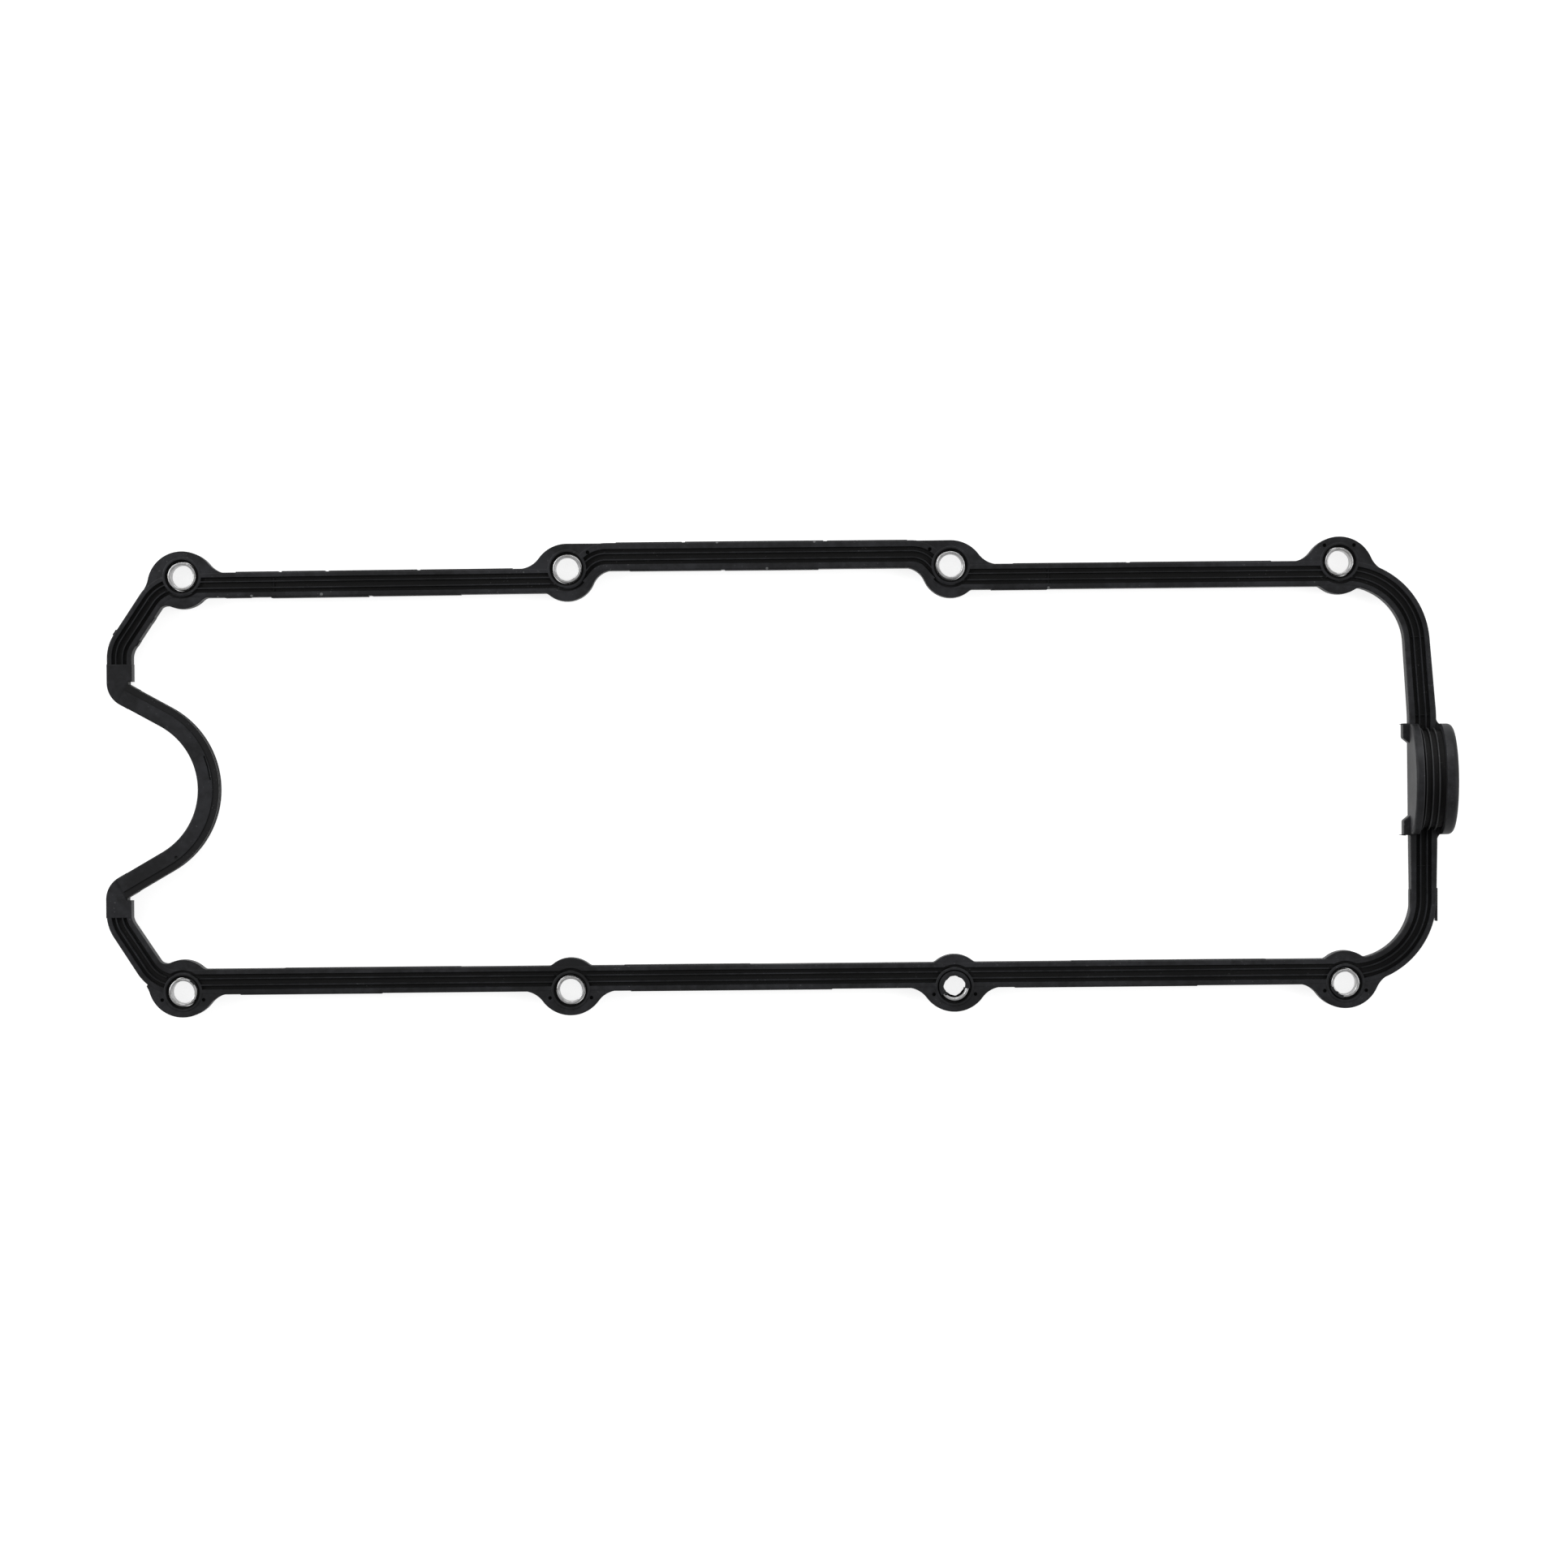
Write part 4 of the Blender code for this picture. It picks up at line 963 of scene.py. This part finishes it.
def makeRubber():
    # The darkest colour is painted shade for recesses; the light grey one serves for dust specks
    # and for painted highlights and glints
    look = {"dark": (0.0026, 0.0027, 0.0032, 1), "worn": (0.0102, 0.0105, 0.0122, 1),
            "paintedShade": (0.0006, 0.0006, 0.0007, 1), "dustAndGlints": (0.085, 0.086, 0.088, 1),
            "gloss": 0.18, "crestGlint": 0.14, "bandShade": 0.75, "glintShine": 1.6}
    rubber = Surface("blackRubber", {"Specular IOR Level": look["gloss"]})

    def rise(value, low, high):
        # Smooth rise between two places in millimetres
        return value.step(low / 1000, high / 1000)

    place = rubber.node("ShaderNodeTexCoord", "Object")
    local = rubber.node("ShaderNodeVectorMath", "Vector", {"operation": "SUBTRACT"}, place,
                        (origin.x, origin.y, 0.0))
    across, along, level = (rubber.node("ShaderNodeSeparateXYZ", axis, None, local)
                            for axis in "XYZ")
    normal = rubber.node("ShaderNodeNewGeometry", "Normal")
    facing = rubber.node("ShaderNodeSeparateXYZ", "Z", None, normal)
    # Painted shade on the groove floors of the strip on both sides, then in the grooves round the
    # plug
    depth = grooves["depth"]
    floor = facing.step(0.3, 0.8) * (1 - rise(level, height - depth * 0.95, height - depth * 0.25))
    under = (1 - facing.step(-0.8, -0.3)) * rise(level, 0.2, 0.5)
    stand, side = level - (height + plug["lift"]) / 1000, along - camY / 1000
    radius = rubber.node("ShaderNodeMath", "Value", {"operation": "SQRT"},
                         stand * stand + side * side)
    drum = (rise(level, 7.0, 7.4) * rise(across, endX - 2.2, endX - 2.0)
            * (1 - rise(across, endX + 5.1, endX + 5.3)))
    crest = rise(radius, plug["crestRadius"] - 0.3, plug["crestRadius"])
    # Painted highlight along the crest tops of the plug
    glint = drum * crest
    # Painted shade on the lower band beside the mould step on the arch
    band = (rise(level, 7.0, 7.2) * (1 - rise(level, 7.55, 7.75)) * (1 - rise(across, 50, 52))
            * look["bandShade"])
    # All the painted shade: groove floors, the plug's grooves and the band beside the arch's step,
    # in the darkest colour
    paintedShade = floor + under + drum * (1 - crest) + band
    cloud = rubber.noise(place, 55, 4.0, 0.55)
    mottle = rubber.noise(place, 420, 4.0, 0.6)
    grain = rubber.noise(place, 2600, 3.0, 0.6)
    streak = rubber.noise(place, 900, 5.0, 0.7)
    speck = rubber.noise(place, 1700, 1.0, 0.4)
    worn = (cloud * 0.6 + mottle * 0.4).step(0.38, 0.64)
    # Dust specks, and the painted highlight on the plug's crest tops, both in the light grey colour
    dustAndGlints = speck.step(0.72, 0.77) * cloud.step(0.45, 0.6) * 0.4 + glint * look["crestGlint"]
    # Small bright spots painted as glints, as (x, y, size) in millimetres
    glintSpots = [(22.6, 59.2, 0.5), (44.8, 59.6, 0.55), (170.6, 75.0, 0.5), (201.5, 74.9, 0.45),
             (186.4, 66.4, 0.5), (275.8, 59.5, 0.45), (11.9, 59.0, 0.3), (384.0, 59.0, 0.4)]
    for x, y, size in glintSpots:
        gap = rubber.node("ShaderNodeVectorMath", "Value", {"operation": "DISTANCE"}, local,
                          (x / 1000, y / 1000, height / 1000))
        dustAndGlints = dustAndGlints + (1 - rise(gap, size * 0.4, size * 1.1)) * look["glintShine"]
    colour = rubber.blend(worn, look["dark"], look["worn"])
    colour = rubber.blend(paintedShade, colour, look["paintedShade"])
    rubber.set("Base Color", rubber.blend(dustAndGlints, colour, look["dustAndGlints"]))
    rubber.set("Roughness", 0.44 + mottle * 0.16 + (1 - worn) * 0.05 + dustAndGlints * 0.2 + paintedShade * 0.2)
    soft = rubber.bump(mottle, 0.00005)
    rubber.set("Normal", rubber.bump(grain * 0.7 + streak * 0.3, 0.00002, under=soft))
    return rubber


def makeSteel():
    look = {"bright": (0.42, 0.42, 0.425, 1), "dull": (0.28, 0.277, 0.27, 1)}
    steel = Surface("platedSteel", {"Metallic": 1.0})
    place = steel.node("ShaderNodeTexCoord", "Object")
    cloud = steel.noise(place, 700, 4.0, 0.6)
    fine = steel.noise(place, 5200, 3.0, 0.6)
    marks = steel.node("ShaderNodeSeparateXYZ", "Z", Vector=place)
    turned = steel.node("ShaderNodeTexNoise", "Fac", {"noise_dimensions": "1D"}, W=marks,
                        Scale=9000.0, Detail=2.0)
    stain = cloud.step(0.42, 0.68)
    steel.set("Base Color", steel.blend(stain, look["bright"], look["dull"]))
    steel.set("Roughness", 0.26 + cloud * 0.16 + fine * 0.08)
    steel.set("Normal", steel.bump(turned * 0.6 + fine * 0.4, 0.000012))
    return steel


rubber, steel = makeRubber(), makeSteel()
for piece in [body] + films:
    rubber.cover(piece)
for piece in sleeves:
    steel.cover(piece)
print("materials ready")


# Stage: white floor, white surroundings and wide soft lamps
def makeStage():
    settings = {"floorSize": 6.0, "floorDrop": 0.0002, "white": (0.40, 0.40, 0.40, 1),
                "rough": 0.9, "gloss": 0.1, "glow": 0.78, "room": 0.55}
    bm = bmesh.new()
    bmesh.ops.create_grid(bm, x_segments=1, y_segments=1, size=settings["floorSize"] / 2,
                          matrix=Matrix.Translation((0, 0, -settings["floorDrop"])))
    mesh = bpy.data.meshes.new("floor")
    bm.to_mesh(mesh)
    bm.free()
    floor = bpy.data.objects.new("floor", mesh)
    scene.collection.objects.link(floor)
    paper = Surface("paper", {
        "Base Color": settings["white"], "Roughness": settings["rough"],
        "Specular IOR Level": settings["gloss"], "Emission Color": (1, 1, 1, 1),
        "Emission Strength": settings["glow"]})
    paper.cover(floor)

    world = bpy.data.worlds.new("studio")
    scene.world = world
    world.use_nodes = True
    tree = world.node_tree
    path = tree.nodes.new("ShaderNodeLightPath")
    room = tree.nodes["Background"]
    room.inputs["Strength"].default_value = settings["room"]
    room.inputs["Color"].default_value = (1, 1, 1, 1)
    white = tree.nodes.new("ShaderNodeBackground")
    white.inputs["Color"].default_value = (1, 1, 1, 1)
    mix = tree.nodes.new("ShaderNodeMixShader")
    tree.links.new(path.outputs["Is Camera Ray"], mix.inputs["Fac"])
    tree.links.new(room.outputs[0], mix.inputs[1])
    tree.links.new(white.outputs[0], mix.inputs[2])
    tree.links.new(mix.outputs[0], tree.nodes["World Output"].inputs["Surface"])


def addLamp(name, place, size, power):
    data = bpy.data.lights.new(name, "AREA")
    data.shape, data.size, data.size_y, data.energy = "RECTANGLE", size[0], size[1], power
    lamp = bpy.data.objects.new(name, data)
    lamp.location = place
    lamp.rotation_euler = (-Vector(place)).to_track_quat("-Z", "Y").to_euler()
    scene.collection.objects.link(lamp)


def makeCamera():
    view = {"pixel": 0.0002578, "distance": 1.5, "turn": -0.535, "across": 0.1912,
            "along": 0.00025, "lift": -9, "sensor": 36.0}
    data = bpy.data.cameras.new("camera")
    data.sensor_width = view["sensor"]
    data.lens = view["sensor"] * view["distance"] / (pixels * view["pixel"])
    data.shift_y = view["lift"] / pixels
    camera = bpy.data.objects.new("camera", data)
    camera.location = (origin.x + view["across"], origin.y + view["along"],
                       height / 1000 + view["distance"])
    camera.rotation_euler = (0, 0, math.radians(view["turn"]))
    scene.collection.objects.link(camera)
    scene.camera = camera


pixels = 1932
makeStage()
addLamp("windowLeft", (-1.7, 0.7, 1.1), (1.2, 1.2), 40)
addLamp("windowRight", (1.8, 0.1, 1.2), (1.2, 1.2), 20)
addLamp("windowBack", (0.1, 1.9, 1.0), (1.8, 0.9), 30)
makeCamera()
scene.render.resolution_x = scene.render.resolution_y = pixels
scene.view_settings.view_transform = "Standard"
print("stage, light and camera ready")
